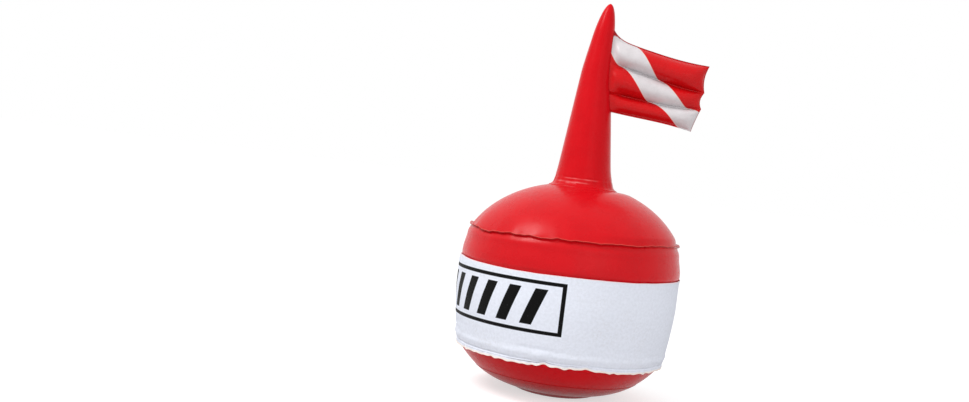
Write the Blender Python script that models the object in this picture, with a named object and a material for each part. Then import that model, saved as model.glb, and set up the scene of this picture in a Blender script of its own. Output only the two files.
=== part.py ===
"""Inflatable dive flag float: a welded film ball with a mast and a quilted flag.

Frame: metres, +Z up, origin on the ball's axis at the plane that the base stands on.
The front, where the flag points to the right (+X), faces -Y.
"""
import math

import bmesh
import bpy
from mathutils import Matrix, Vector

# Ball: an upper dome, a side belt, a wide band lapped over the belt, and a lower dome
BALL_DIAMETER = 0.300
WIDEST_HEIGHT = 0.173
UPPER_DOME_RISE = 0.114
UPPER_SEAM_RISE = 0.0418
BELT_CLEARANCE = 0.0007
BAND_TOP_DROP = 0.0008
BAND_STRAIGHT = 0.0372
BAND_TAPER_INSET = 0.0088
BAND_HEM_BEND = 0.0018
BAND_HEM_INSET = 0.0006
LAP_DEPTH = 0.0112
LOWER_SEAM_HEIGHT = 0.0576
BASE_RADIUS = 0.0391
FILM = 0.0009
GAP = 0.0003
BAND_TAPER_POWER_SHARE = 1.4

# Seams: two film edges welded face to face
UPPER_FIN_LENGTH = 0.0042
UPPER_FIN_RISE_ANGLE = math.radians(25)
FIN_FILM = 0.0006
LOWER_FIN_LENGTH = 0.0036
LOWER_FIN_ROOT = 0.0014

# Mast: the heights of its shoulder, low ring and foot are counted from the ball's crown
MAST_SHOULDER = 0.198
MAST_SHOULDER_RADIUS = 0.0147
MAST_TIP_LENGTH = 0.049
MAST_LOW = 0.031
MAST_LOW_RADIUS = 0.0344
MAST_FLARE = 0.0008
MAST_FOOT = 0.0055
MAST_FLANGE_WIDTH = 0.0015
MAST_FLANGE_FILM = 0.0007
MAST_FLANGE_RIM = 0.0003
MAST_FILLET_REACH = 0.0068
MAST_LEAN = 0.006
MAST_LEAN_LENGTH = 0.094
DOME_HOLE_INSET = 0.0013
MAST_TIP_POWER_SHARE = 1.2
MAST_LEAN_POWER_SHARE = 1.2

# Flag: three inflated tubes between four lines, which fall from the mast to the fly end
TOP_LINE_RISE = 0.0055
TOP_TUBE_HOIST = 0.0350
MIDDLE_TUBE_HOIST = 0.0420
LOW_TUBE_HOIST = 0.0249
TOP_LINE_FALL = 0.0250
HIGH_CREASE_FALL = 0.0260
LOW_CREASE_FALL = 0.0095
FOOT_LINE_FALL = 0.0136
TOP_LINE_REACH = 0.1495
HIGH_CREASE_REACH = 0.1490
LOW_CREASE_REACH = 0.1445
FOOT_LINE_REACH = 0.1370
FLY_SCALLOPS = (0.0006, 0.0036, 0.0034)
HOIST_WEB_RISE = 0.0140
HOIST_WEB_RUN = 0.0125
FLAG_FILM = 0.0008
FLY_END_TAPER = 0.022
HOIST_END_TAPER = 0.020
TUBE_DEPTH_SHARE = 0.40
HOIST_DEPTH_SHARE = 0.50
COLUMN_SHARES = (0.0, 0.03, 0.08, 0.15, 0.26, 0.40, 0.55, 0.70, 0.82, 0.90, 0.955, 0.985, 1.0)

# Inflation valve in the back of the band, with its axis along +Y
VALVE_LAP_CLEARANCE = 0.0020
VALVE_BORE_RADIUS = 0.0040
VALVE_NECK_RADIUS = 0.0055
VALVE_HOLE_CLEARANCE = 0.0005
VALVE_DEPTH = 0.011
VALVE_FLANGE_RADIUS = 0.013
VALVE_FLANGE_FILM = 0.001
VALVE_RIM_RADIUS = 0.0070
VALVE_RIM_START = 0.0014
VALVE_RIM_END = 0.0024
STRAP_START = 0.00035
STRAP_FILM = 0.00075
STRAP_RING_RADIUS = 0.0080
STRAP_WIDTH = 0.0050
CAP_THICKNESS = 0.0016
PLUG_CLEARANCE = 0.0004
PLUG_LENGTH = 0.0030
PLUG_CHAMFER = 0.0005
CAP_HINGE_REACH = 0.0120
CAP_HINGE_HEIGHT = 0.0026
KNUCKLE_RADIUS = 0.0009
CAP_PULL_REACH = 0.0030
CAP_ARM_ROOT_SHARE = 0.6
KNUCKLE_START = math.radians(150)
KNUCKLE_END = math.radians(330)
FLAP_RADIUS = 0.0060
FLAP_FILM = 0.0006
FLAP_HINGE_REACH = 0.0070
FLAP_TAB_WIDTH = 0.0050
FLAP_SHOULDER_ANGLE = math.radians(50)

# Base: a cover welded below the flattened centre of the lower dome, with ballast in it
COVER_INSET = 0.0018
COVER_WELD_WIDTH = 0.0060
COVER_FILM = 0.0011
RECESS_RADIUS = 0.028
BALLAST_EDGE = 0.0026
BALLAST_BORE_CLEARANCE = 0.0015
BALLAST_CLEARANCE = 0.0005
PATCH_RADIUS = 0.034
PATCH_FILM = 0.001

# Line ring: a wire ring held by a loop of webbing under the centre of the base
WIRE = 0.0040
RING_EYE_WIDTH = 0.025
RING_EYE_DEPTH = 0.016
RING_CORNER = 0.004
RING_PLAY = 0.0005
KEEPER_SIDE_CLEARANCE = 0.0005
KEEPER_WEBBING = 0.0011
KEEPER_CLEARANCE = 0.00035
KEEPER_TAIL = 0.0065
RING_GROUND_CLEARANCE = 0.0004

# How finely round things are cut, and how the rings of points gather towards an end
BALL_STEPS = 48
DOME_ROWS = 9
BELT_ROWS = 5
BAND_ROWS = 6
BOWL_ROWS = 7
MAST_STEPS = 36
TIP_ROWS = 6
MAST_ROWS = 7
FLARE_ROWS = 2
FILLET_STEPS = 4
TUBE_ROWS = 6
VALVE_STEPS = 20
FLAP_STEPS = 16
BASE_STEPS = 40
POUCH_ROWS = 4
RING_ARC_STEPS = 14
CORNER_STEPS = 3
LOOP_STEPS = 8
DOME_GATHER_SHARE = 0.8
TIP_GATHER_SHARE = 1.7
SMOOTH_ANGLE = math.radians(38)
MERGE_DISTANCE = 0.000003
CUT_OVERRUN = 0.0027

# Derived sizes
BALL_RADIUS = BALL_DIAMETER / 2
BELT_RADIUS = BALL_RADIUS - FILM - BELT_CLEARANCE
CROWN_HEIGHT = WIDEST_HEIGHT + UPPER_DOME_RISE
UPPER_SEAM_HEIGHT = WIDEST_HEIGHT + UPPER_SEAM_RISE
BAND_TOP_HEIGHT = WIDEST_HEIGHT - BAND_TOP_DROP
BAND_TAPER_HEIGHT = BAND_TOP_HEIGHT - BAND_STRAIGHT
BELT_FOOT_HEIGHT = BAND_TOP_HEIGHT - LAP_DEPTH
LOWER_SEAM_RADIUS = BALL_RADIUS - BAND_TAPER_INSET - BAND_HEM_INSET - FILM - GAP
SEAM_REACH_SQUARED = LOWER_SEAM_HEIGHT**2 + LOWER_SEAM_RADIUS**2
LOWER_DOME_CENTRE = (SEAM_REACH_SQUARED - BASE_RADIUS**2) / (2 * LOWER_SEAM_HEIGHT)
LOWER_DOME_RADIUS = math.hypot(LOWER_DOME_CENTRE, BASE_RADIUS)
CHORD_ALLOWANCE = BALL_RADIUS * (1 - math.cos(math.pi / BALL_STEPS))
MAST_TIP = MAST_SHOULDER + MAST_TIP_LENGTH
MAST_TIP_HEIGHT = CROWN_HEIGHT + MAST_TIP
TOP_LINE_HOIST = MAST_SHOULDER + TOP_LINE_RISE
HIGH_CREASE_HOIST = TOP_LINE_HOIST - TOP_TUBE_HOIST
LOW_CREASE_HOIST = HIGH_CREASE_HOIST - MIDDLE_TUBE_HOIST
FOOT_LINE_HOIST = LOW_CREASE_HOIST - LOW_TUBE_HOIST
VALVE_HEIGHT = BELT_FOOT_HEIGHT - VALVE_LAP_CLEARANCE - VALVE_FLANGE_RADIUS
KEEPER_WIDTH = RING_EYE_WIDTH + WIRE - 2 * (RING_CORNER + KEEPER_SIDE_CLEARANCE)
KEEPER_BEND = WIRE / 2 + KEEPER_CLEARANCE
RING_HEIGHT = RING_GROUND_CLEARANCE + KEEPER_WEBBING + KEEPER_BEND
KEEPER_TOP = RING_HEIGHT + WIRE / 2 + RING_PLAY + KEEPER_WEBBING
PATCH_UNDERSIDE = KEEPER_TOP + GAP
BASE_FLAT_HEIGHT = PATCH_UNDERSIDE + PATCH_FILM + GAP


def upper_dome_height(radius):
    """Outer surface of the upper dome, an ellipse turned about the axis."""
    return WIDEST_HEIGHT + UPPER_DOME_RISE * math.sqrt(1 - (radius / BALL_RADIUS) ** 2)


def upper_dome_radius(height):
    """Radius of the upper dome's outer surface at a height."""
    share = (height - WIDEST_HEIGHT) / UPPER_DOME_RISE
    return BALL_RADIUS * math.sqrt(1 - share**2)


def lower_dome_height(radius, inset=0.0):
    """Outer surface of the lower dome, part of a large sphere."""
    return LOWER_DOME_CENTRE - math.sqrt((LOWER_DOME_RADIUS - inset) ** 2 - radius**2)


def lower_dome_radius(height, inset=0.0):
    """Radius of the lower dome's outer surface at a height."""
    return math.sqrt((LOWER_DOME_RADIUS - inset) ** 2 - (LOWER_DOME_CENTRE - height) ** 2)


def belt_radius(height):
    """Belt's outer radius: an ellipse that meets the upper dome at the seam."""
    if height < WIDEST_HEIGHT:
        return BELT_RADIUS
    rise = UPPER_SEAM_RISE / math.sqrt(1 - (UPPER_SEAM_RADIUS / BELT_RADIUS) ** 2)
    return BELT_RADIUS * math.sqrt(1 - ((height - WIDEST_HEIGHT) / rise) ** 2)


def band_radius(height):
    """Band's outer radius: straight above, drawn in towards the lower seam."""
    if height >= BAND_TAPER_HEIGHT:
        return BALL_RADIUS
    share = (BAND_TAPER_HEIGHT - height) / (BAND_TAPER_HEIGHT - LOWER_SEAM_HEIGHT)
    return BALL_RADIUS - BAND_TAPER_INSET * share**BAND_TAPER_POWER_SHARE


def mast_radius(height):
    """Mast's outer radius: a flared foot, a straight taper and a long rounded tip."""
    above = height - CROWN_HEIGHT
    if above >= MAST_SHOULDER:
        share = min((above - MAST_SHOULDER) / MAST_TIP_LENGTH, 1)
        return MAST_SHOULDER_RADIUS * math.sqrt(1 - share**MAST_TIP_POWER_SHARE)
    share = (above - MAST_LOW) / (MAST_SHOULDER - MAST_LOW)
    radius = MAST_LOW_RADIUS + (MAST_SHOULDER_RADIUS - MAST_LOW_RADIUS) * share
    flare = max((MAST_LOW - above) / (MAST_LOW - MAST_FOOT), 0)
    return radius + MAST_FLARE * flare**2


def mast_lean(height):
    """How far the mast's centre line stands towards the flag."""
    share = max(1 - (MAST_TIP_HEIGHT - height) / MAST_LEAN_LENGTH, 0)
    return MAST_LEAN * share**MAST_LEAN_POWER_SHARE


UPPER_SEAM_RADIUS = upper_dome_radius(UPPER_SEAM_HEIGHT)
BASE_FLAT_RADIUS = lower_dome_radius(BASE_FLAT_HEIGHT)
COVER_RADIUS = BASE_FLAT_RADIUS - COVER_INSET
MAST_FOOT_RADIUS = mast_radius(CROWN_HEIGHT + MAST_FOOT)
DOME_HOLE_RADIUS = MAST_FOOT_RADIUS - FILM - DOME_HOLE_INSET

# The valve's frame: local Z points out of the band, local Y points down
VALVE_PLACE = ((0, BALL_RADIUS, VALVE_HEIGHT), (-math.pi / 2, 0, 0))


def material(name, colour, roughness, metallic=0.0):
    """A plain finish in one colour."""
    made = bpy.data.materials.new(name)
    made.use_nodes = True
    shader = made.node_tree.nodes["Principled BSDF"]
    shader.inputs["Base Color"].default_value = (*colour, 1)
    shader.inputs["Roughness"].default_value = roughness
    shader.inputs["Metallic"].default_value = metallic
    made.diffuse_color = (*colour, 1)
    return made


def place(mesh_data, name, finish, location=(0, 0, 0), rotation=(0, 0, 0)):
    """An object from a finished bmesh, shaded smooth but for its sharp edges."""
    mesh = bpy.data.meshes.new(name)
    bmesh.ops.recalc_face_normals(mesh_data, faces=mesh_data.faces[:])
    mesh_data.to_mesh(mesh)
    mesh_data.free()
    mesh.shade_smooth()
    mesh.set_sharp_from_angle(angle=SMOOTH_ANGLE)
    mesh.materials.append(finish)
    made = bpy.data.objects.new(name, mesh)
    made.location = location
    made.rotation_euler = rotation
    bpy.context.scene.collection.objects.link(made)
    return made


def turned(outline, steps, closed=True):
    """Turn an outline of (radius, height) points about the local Z axis.

    A closed outline is a ring's section; an open one starts and ends on the axis.
    """
    shape = bmesh.new()
    verts = [shape.verts.new((radius, 0, height)) for radius, height in outline]
    ends = verts[1:] + verts[:1] if closed else verts[1:]
    edges = [shape.edges.new(pair) for pair in zip(verts, ends)]
    bmesh.ops.spin(
        shape, geom=verts + edges, cent=(0, 0, 0), axis=(0, 0, 1),
        angle=math.tau, steps=steps, use_merge=True,
    )
    bmesh.ops.remove_doubles(shape, verts=shape.verts[:], dist=MERGE_DISTANCE)
    return shape


def extruded(outline, thickness):
    """A flat outline of (x, y) points drawn up along local Z."""
    shape = bmesh.new()
    face = shape.faces.new([shape.verts.new((x, y, 0)) for x, y in outline])
    drawn = bmesh.ops.extrude_face_region(shape, geom=[face], use_keep_orig=True)
    lifted = [item for item in drawn["geom"] if isinstance(item, bmesh.types.BMVert)]
    bmesh.ops.translate(shape, verts=lifted, vec=(0, 0, thickness))
    return shape


def drawn_across(outline, width):
    """A flat outline of (y, z) points drawn across local X, half its width to each side."""
    shape = extruded(outline, width)
    stand = Matrix(((0, 0, 1, -width / 2), (1, 0, 0, 0), (0, 1, 0, 0), (0, 0, 0, 1)))
    bmesh.ops.transform(shape, matrix=stand, verts=shape.verts[:])
    return shape


def arc(centre, radius, start, end, steps):
    """Points along an arc, ends included, with angles in radians."""
    angles = [start + (end - start) * step / steps for step in range(steps + 1)]
    return [
        (centre[0] + radius * math.cos(angle), centre[1] + radius * math.sin(angle))
        for angle in angles
    ]


def spread(low, high, count, power=1.0):
    """Evenly spread values from low to high, or gathered towards low by a power."""
    return [low + (high - low) * (step / count) ** power for step in range(count + 1)]


def combine(target, tool, operation):
    """Cut a hidden tool's shape out of an object, or join it on."""
    tool.hide_render = True
    tool.display_type = "WIRE"
    step = target.modifiers.new(tool.name, "BOOLEAN")
    step.operation = operation
    step.object = tool


def fin_point(along, across):
    """A point of the upper fin, counted from the seam along and across the fin."""
    direction = Vector((math.cos(UPPER_FIN_RISE_ANGLE), math.sin(UPPER_FIN_RISE_ANGLE)))
    normal = Vector((-direction.y, direction.x))
    point = Vector((UPPER_SEAM_RADIUS, UPPER_SEAM_HEIGHT)) + direction * along + normal * across
    return (point.x, point.y)


def make_upper_dome(finish):
    """Domed disc with a hole below the mast and its edge turned out into the fin."""
    near, far = GAP / 2, GAP / 2 + FIN_FILM
    seam_start = UPPER_SEAM_RADIUS - FIN_FILM
    radii = spread(DOME_HOLE_RADIUS, seam_start, DOME_ROWS, DOME_GATHER_SHARE)
    outer = [(radius, upper_dome_height(radius)) for radius in radii]
    inner = []
    for radius, height in outer:
        slope = Vector((radius / BALL_RADIUS**2, (height - WIDEST_HEIGHT) / UPPER_DOME_RISE**2))
        inward = slope.normalized() * FILM
        inner.append((radius - inward.x, height - inward.y))
    inner[0] = (DOME_HOLE_RADIUS, inner[0][1])
    fin = [
        fin_point(0, far), fin_point(UPPER_FIN_LENGTH, far),
        fin_point(UPPER_FIN_LENGTH, near), fin_point(-FILM, near),
    ]
    outline = outer + fin + inner[:-1][::-1]
    return place(turned(outline, BALL_STEPS), "upper_dome", finish)


def make_red_belt(finish):
    """Side strip: its top edge is the lower film of the fin, its foot is lapped over."""
    near, far = -GAP / 2, -GAP / 2 - FIN_FILM
    heights = [BELT_FOOT_HEIGHT] + spread(WIDEST_HEIGHT, UPPER_SEAM_HEIGHT - FIN_FILM, BELT_ROWS)[:-1]
    outer = [(belt_radius(height), height) for height in heights]
    inner = [(radius - FILM, height) for radius, height in outer]
    outline = (
        outer
        + [fin_point(0, far), fin_point(UPPER_FIN_LENGTH, far)]
        + [fin_point(UPPER_FIN_LENGTH, near), fin_point(-FILM, near)]
        + inner[::-1]
    )
    return place(turned(outline, BALL_STEPS), "red_belt", finish)


def make_white_band(finish):
    """Wide band lapped over the belt; below the seam its hem hangs as a free fringe."""
    bend = LOWER_SEAM_HEIGHT + BAND_HEM_BEND
    heights = [BAND_TOP_HEIGHT] + spread(BAND_TAPER_HEIGHT, bend, BAND_ROWS)
    outer = [(band_radius(height), height) for height in heights]
    inner = [(radius - FILM, height) for radius, height in outer]
    hem_inner = LOWER_SEAM_RADIUS + GAP
    hem_outer, hem_foot = hem_inner + FILM, LOWER_SEAM_HEIGHT - LOWER_FIN_LENGTH
    hem = [
        (hem_outer, LOWER_SEAM_HEIGHT), (hem_outer, hem_foot),
        (hem_inner, hem_foot), (hem_inner, LOWER_SEAM_HEIGHT + LOWER_FIN_ROOT),
    ]
    band = place(turned(outer + hem + inner[::-1], BALL_STEPS), "white_band", finish)
    hole_radius = VALVE_NECK_RADIUS + VALVE_HOLE_CLEARANCE
    near, far = CUT_OVERRUN, -FILM - CUT_OVERRUN
    drill = [(0, near), (hole_radius, near), (hole_radius, far), (0, far)]
    hole = place(turned(drill, VALVE_STEPS, closed=False), "valve_hole", finish, *VALVE_PLACE)
    combine(band, hole, "DIFFERENCE")
    return band


def make_lower_dome(finish):
    """Spherical bowl with a flattened centre; its rim is turned down inside the fringe."""
    lip_outer = LOWER_SEAM_RADIUS
    lip_inner = lip_outer - FIN_FILM
    radii = spread(lip_inner, BASE_FLAT_RADIUS, BOWL_ROWS)
    outer = [(radius, lower_dome_height(radius)) for radius in radii]
    inner = [(radius, lower_dome_height(radius, FILM)) for radius in radii[1:-1]]
    lip_top = LOWER_SEAM_HEIGHT + FILM
    lip_foot = LOWER_SEAM_HEIGHT - LOWER_FIN_LENGTH + GAP
    outline = (
        [(0, BASE_FLAT_HEIGHT + FILM), (BASE_FLAT_RADIUS - FILM, BASE_FLAT_HEIGHT + FILM)]
        + inner[::-1] + [(lip_inner - FILM, lip_top), (lip_outer, lip_top)]
        + [(lip_outer, lip_foot), (lip_inner, lip_foot)] + outer
        + [(0, BASE_FLAT_HEIGHT)]
    )
    return place(turned(outline, BALL_STEPS, closed=False), "lower_dome", finish)


def flange_point(radius, film=0.0):
    """A point of the mast's flange, just clear of the dome, or up to a film above that."""
    return (radius, upper_dome_height(radius) + GAP + film)


def mast_fillet():
    """Points of the curve that runs out from the mast's foot onto its flange."""
    start = Vector((MAST_FOOT_RADIUS, CROWN_HEIGHT + MAST_FOOT))
    corner = Vector(flange_point(MAST_FOOT_RADIUS + FILM, MAST_FLANGE_FILM))
    end = Vector(flange_point(MAST_FOOT_RADIUS + MAST_FILLET_REACH, MAST_FLANGE_FILM))
    points = []
    for share in spread(0, 1, FILLET_STEPS)[1:]:
        point = start * (1 - share) ** 2 + corner * 2 * share * (1 - share) + end * share**2
        points.append((point.x, point.y))
    return points


def make_mast(finish):
    """Hollow tapered tube, open below, on a flange that lies on the upper dome."""
    foot, low = CROWN_HEIGHT + MAST_FOOT, CROWN_HEIGHT + MAST_LOW
    shoulder = CROWN_HEIGHT + MAST_SHOULDER
    heights = spread(MAST_TIP_HEIGHT, shoulder, TIP_ROWS, TIP_GATHER_SHARE)[1:]
    heights += spread(shoulder, low, MAST_ROWS)[1:] + spread(low, foot, FLARE_ROWS)[1:]
    outer = [(mast_radius(height), height) for height in heights]
    inner = [(max(radius - FILM, GAP), height - FILM / 2) for radius, height in outer]

    rim = MAST_FOOT_RADIUS + MAST_FILLET_REACH + MAST_FLANGE_WIDTH
    bore = MAST_FOOT_RADIUS - FILM
    fillet = mast_fillet()
    flange = [
        flange_point(rim, MAST_FLANGE_RIM), flange_point(rim),
        flange_point((rim + bore) / 2), flange_point(bore),
    ]
    outline = (
        [(0, MAST_TIP_HEIGHT)] + outer + fillet + flange + inner[::-1]
        + [(0, MAST_TIP_HEIGHT - FILM)]
    )
    shape = turned(outline, MAST_STEPS, closed=False)
    for vert in shape.verts:
        vert.co.x += mast_lean(vert.co.z)
    return place(shape, "mast", finish)


class FlagForm:
    """The flag's surface: three tubes across its height, from the mast to the fly end."""

    # Each line's height at the mast, its fall to the fly end, and that end's reach
    lines = (
        (FOOT_LINE_HOIST, FOOT_LINE_FALL, FOOT_LINE_REACH),
        (LOW_CREASE_HOIST, LOW_CREASE_FALL, LOW_CREASE_REACH),
        (HIGH_CREASE_HOIST, HIGH_CREASE_FALL, HIGH_CREASE_REACH),
        (TOP_LINE_HOIST, TOP_LINE_FALL, TOP_LINE_REACH),
    )
    tubes = len(lines) - 1

    def line_height(self, line, share):
        """Height of a crease or edge at a share of the way to the fly end."""
        hoist, fall, _ = self.lines[line]
        return CROWN_HEIGHT + hoist - fall * share

    def point(self, share, row, side, lift, wall):
        """A point of one sheet: side is -1 for the front, lift its distance from the middle."""
        tube = min(row // TUBE_ROWS, self.tubes - 1)
        step = row - tube * TUBE_ROWS
        turn = math.pi * step / TUBE_ROWS
        low, high = self.line_height(tube, share), self.line_height(tube + 1, share)
        width = high - low
        across = -math.cos(turn)
        edge = step in (0, TUBE_ROWS)
        height = (low + high) / 2 + across * (width / 2 - (0 if edge else wall))

        reach_low, reach_high = self.lines[tube][2], self.lines[tube + 1][2]
        reach = reach_low + (reach_high - reach_low) * (across + 1) / 2
        reach -= FLY_SCALLOPS[tube] * (1 - across**2)
        start = mast_lean(height) + mast_radius(height)
        run = (reach - start) * share
        left = (reach - start) * (1 - share)

        fly_fade = math.sqrt(1 - (1 - min(left / FLY_END_TAPER, 1)) ** 2)
        hoist_fade = min(run / HOIST_END_TAPER, 1)
        hoist_fade = HOIST_DEPTH_SHARE + (1 - HOIST_DEPTH_SHARE) * hoist_fade * (2 - hoist_fade)
        depth = width * TUBE_DEPTH_SHARE * fly_fade * hoist_fade
        depth = max(depth - wall, 0) * math.sin(turn) + lift

        if tube == self.tubes - 1:
            web = math.exp(-run / HOIST_WEB_RUN) * HOIST_WEB_RISE
            height += web * ((across + 1) / 2) ** 2
        start = mast_lean(height) + math.sqrt((mast_radius(height) + GAP) ** 2 - depth**2)
        return Vector((start + (reach - start) * share, side * depth, height))


def make_flag_sheet(name, side, finish):
    """One quilted sheet of the flag, a closed skin with its inner and outer faces."""
    form = FlagForm()
    rows = TUBE_ROWS * form.tubes
    shape = bmesh.new()
    column_layer = shape.verts.layers.int.new("column")
    row_layer = shape.verts.layers.int.new("row")
    columns = len(COLUMN_SHARES) - 1
    bmesh.ops.create_grid(shape, x_segments=columns, y_segments=rows, size=1)
    for vert in shape.verts:
        vert[column_layer] = round((vert.co.x + 1) / 2 * columns)
        vert[row_layer] = round((vert.co.y + 1) / 2 * rows)
    drawn = bmesh.ops.extrude_face_region(shape, geom=shape.faces[:], use_keep_orig=True)
    inner = {item for item in drawn["geom"] if isinstance(item, bmesh.types.BMVert)}
    for vert in shape.verts:
        share, row = COLUMN_SHARES[vert[column_layer]], vert[row_layer]
        lift, wall = (GAP / 2, FLAG_FILM) if vert in inner else (GAP / 2 + FLAG_FILM, 0)
        vert.co = form.point(share, row, side, lift, wall)
    return place(shape, name, finish)


def valve_child(made, hinge):
    """Hang an object on a hinge axis that is given in the valve's frame."""
    turn = Matrix.Rotation(VALVE_PLACE[1][0], 4, "X")
    made.location = Vector(VALVE_PLACE[0]) + turn @ Vector(hinge)
    made.rotation_euler = VALVE_PLACE[1]
    return made


def make_valve_body(finish):
    """Neck with a welding flange inside the band and a rim outside."""
    seat = -FILM - GAP - CHORD_ALLOWANCE
    outline = [
        (VALVE_BORE_RADIUS, VALVE_RIM_END), (VALVE_RIM_RADIUS, VALVE_RIM_END),
        (VALVE_RIM_RADIUS, VALVE_RIM_START), (VALVE_NECK_RADIUS, VALVE_RIM_START),
        (VALVE_NECK_RADIUS, seat), (VALVE_FLANGE_RADIUS, seat),
        (VALVE_FLANGE_RADIUS, seat - VALVE_FLANGE_FILM),
        (VALVE_NECK_RADIUS, seat - VALVE_FLANGE_FILM),
        (VALVE_NECK_RADIUS, -VALVE_DEPTH), (VALVE_BORE_RADIUS, -VALVE_DEPTH),
    ]
    shape = turned(outline, VALVE_STEPS)
    for vert in shape.verts:
        if vert.co.xy.length > VALVE_FLANGE_RADIUS - GAP:
            vert.co.z -= vert.co.x**2 / BALL_DIAMETER
    return place(shape, "valve_body", finish, *VALVE_PLACE)


def make_valve_strap(finish):
    """Flat ring round the neck, below the rim, with an upturned lug at the cap's hinge."""
    inner = VALVE_NECK_RADIUS + GAP
    shape = turned(
        [
            (inner, STRAP_START), (STRAP_RING_RADIUS, STRAP_START),
            (STRAP_RING_RADIUS, STRAP_START + STRAP_FILM), (inner, STRAP_START + STRAP_FILM),
        ],
        VALVE_STEPS,
    )
    ring = place(shape, "valve_strap", finish, *VALVE_PLACE)
    root = -(STRAP_RING_RADIUS + inner) / 2
    end = -CAP_HINGE_REACH + KNUCKLE_RADIUS + GAP
    top = CAP_HINGE_HEIGHT - GAP
    lug_outline = [
        (root, STRAP_START), (end, STRAP_START), (end, top),
        (end + STRAP_FILM, top), (end + STRAP_FILM, STRAP_START + STRAP_FILM),
        (root, STRAP_START + STRAP_FILM),
    ]
    lug = place(drawn_across(lug_outline, STRAP_WIDTH), "strap_lug", finish, *VALVE_PLACE)
    combine(ring, lug, "UNION")
    return ring


def make_valve_cap(finish):
    """Disc with a short plug, a pull tab below and an arm up to its hinge."""
    under = VALVE_RIM_END + GAP - CAP_HINGE_HEIGHT
    top = under + CAP_THICKNESS
    plug = VALVE_BORE_RADIUS - PLUG_CLEARANCE
    tip = under - PLUG_LENGTH
    shape = turned(
        [
            (0, top), (VALVE_RIM_RADIUS, top), (VALVE_RIM_RADIUS, under), (plug, under),
            (plug, tip + PLUG_CHAMFER), (plug - PLUG_CHAMFER, tip), (0, tip),
        ],
        VALVE_STEPS, closed=False,
    )
    bmesh.ops.translate(shape, verts=shape.verts[:], vec=(0, CAP_HINGE_REACH, 0))
    hinge = (0, -CAP_HINGE_REACH, CAP_HINGE_HEIGHT)
    cap = valve_child(place(shape, "valve_cap", finish), hinge)

    root = VALVE_RIM_RADIUS * CAP_ARM_ROOT_SHARE
    arm_root, tab_root = CAP_HINGE_REACH - root, CAP_HINGE_REACH + root
    tab_end = CAP_HINGE_REACH + VALVE_RIM_RADIUS + CAP_PULL_REACH
    arm = [(arm_root, under), (arm_root, top), (0, top)]
    arm += arc((0, 0), KNUCKLE_RADIUS, KNUCKLE_START, KNUCKLE_END, LOOP_STEPS)
    arm += [(KNUCKLE_RADIUS, under)]
    tab = [(tab_root, under), (tab_end, under), (tab_end, top), (tab_root, top)]
    for name, outline in (("cap_arm", arm), ("cap_tab", tab)):
        tool = place(drawn_across(outline, STRAP_WIDTH), name, finish)
        combine(cap, valve_child(tool, hinge), "UNION")
    return cap


def make_check_flap(finish):
    """Thin flap that hangs over the inner end of the bore."""
    outline = arc(
        (0, 0), FLAP_RADIUS, -FLAP_SHOULDER_ANGLE, math.pi + FLAP_SHOULDER_ANGLE, FLAP_STEPS
    )
    outline += [
        (-FLAP_TAB_WIDTH / 2, -FLAP_HINGE_REACH), (FLAP_TAB_WIDTH / 2, -FLAP_HINGE_REACH),
    ]
    shape = extruded(outline, FLAP_FILM)
    bmesh.ops.translate(shape, verts=shape.verts[:], vec=(0, FLAP_HINGE_REACH, -FLAP_FILM))
    hinge = (0, -FLAP_HINGE_REACH, -VALVE_DEPTH - GAP)
    return valve_child(place(shape, "check_flap", finish), hinge)


def make_ballast_cover(finish):
    """Ring-shaped pouch that carries on the bowl's outline down to a flat foot."""
    radii = spread(BASE_RADIUS, COVER_RADIUS, POUCH_ROWS)
    outer = [(radius, lower_dome_height(radius)) for radius in radii]
    weld = COVER_RADIUS - COVER_WELD_WIDTH
    room = [(radius, lower_dome_height(radius, COVER_FILM)) for radius in radii if radius < weld]
    room[0] = (BASE_RADIUS, COVER_FILM)
    top = BASE_FLAT_HEIGHT - GAP
    hub = RECESS_RADIUS + COVER_FILM
    outline = (
        [(RECESS_RADIUS, 0)] + outer + [(COVER_RADIUS, top), (weld, top)] + room[::-1]
        + [(hub, COVER_FILM), (hub, KEEPER_TOP), (RECESS_RADIUS, KEEPER_TOP)]
    )
    return place(turned(outline, BASE_STEPS), "ballast_cover", finish)


def make_ballast_ring(finish):
    """Metal ring sealed in the pouch, its lower outer edge cut back to the bowl."""
    inner = RECESS_RADIUS + COVER_FILM + BALLAST_BORE_CLEARANCE
    low = COVER_FILM + BALLAST_CLEARANCE
    top = KEEPER_TOP - BALLAST_CLEARANCE
    shoulder = top - BALLAST_EDGE
    outer = lower_dome_radius(shoulder - BALLAST_CLEARANCE, COVER_FILM)
    outline = [(inner, low), (BASE_RADIUS, low), (outer, shoulder), (outer, top), (inner, top)]
    return place(turned(outline, BASE_STEPS), "ballast_ring", finish)


def make_base_patch(finish):
    """Reinforcing disc below the centre of the bowl, which the webbing is sewn to."""
    under, top = PATCH_UNDERSIDE, PATCH_UNDERSIDE + PATCH_FILM
    outline = [(0, under), (PATCH_RADIUS, under), (PATCH_RADIUS, top), (0, top)]
    return place(turned(outline, BASE_STEPS, closed=False), "base_patch", finish)


def make_ring_keeper(finish):
    """Webbing loop under the ring's bar, with both tails flat against the patch."""
    top = KEEPER_TOP - RING_HEIGHT
    under = top - KEEPER_WEBBING
    outer = KEEPER_BEND + KEEPER_WEBBING
    outline = [(-KEEPER_TAIL, top), (-KEEPER_TAIL, under), (-outer, under)]
    outline += arc((0, 0), outer, math.pi, math.tau, LOOP_STEPS)
    outline += [(outer, under), (KEEPER_TAIL, under), (KEEPER_TAIL, top), (KEEPER_BEND, top)]
    outline += arc((0, 0), KEEPER_BEND, math.tau, math.pi, LOOP_STEPS)
    outline += [(-KEEPER_BEND, top)]
    return place(drawn_across(outline, KEEPER_WIDTH), "ring_keeper", finish, (0, 0, RING_HEIGHT))


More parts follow.
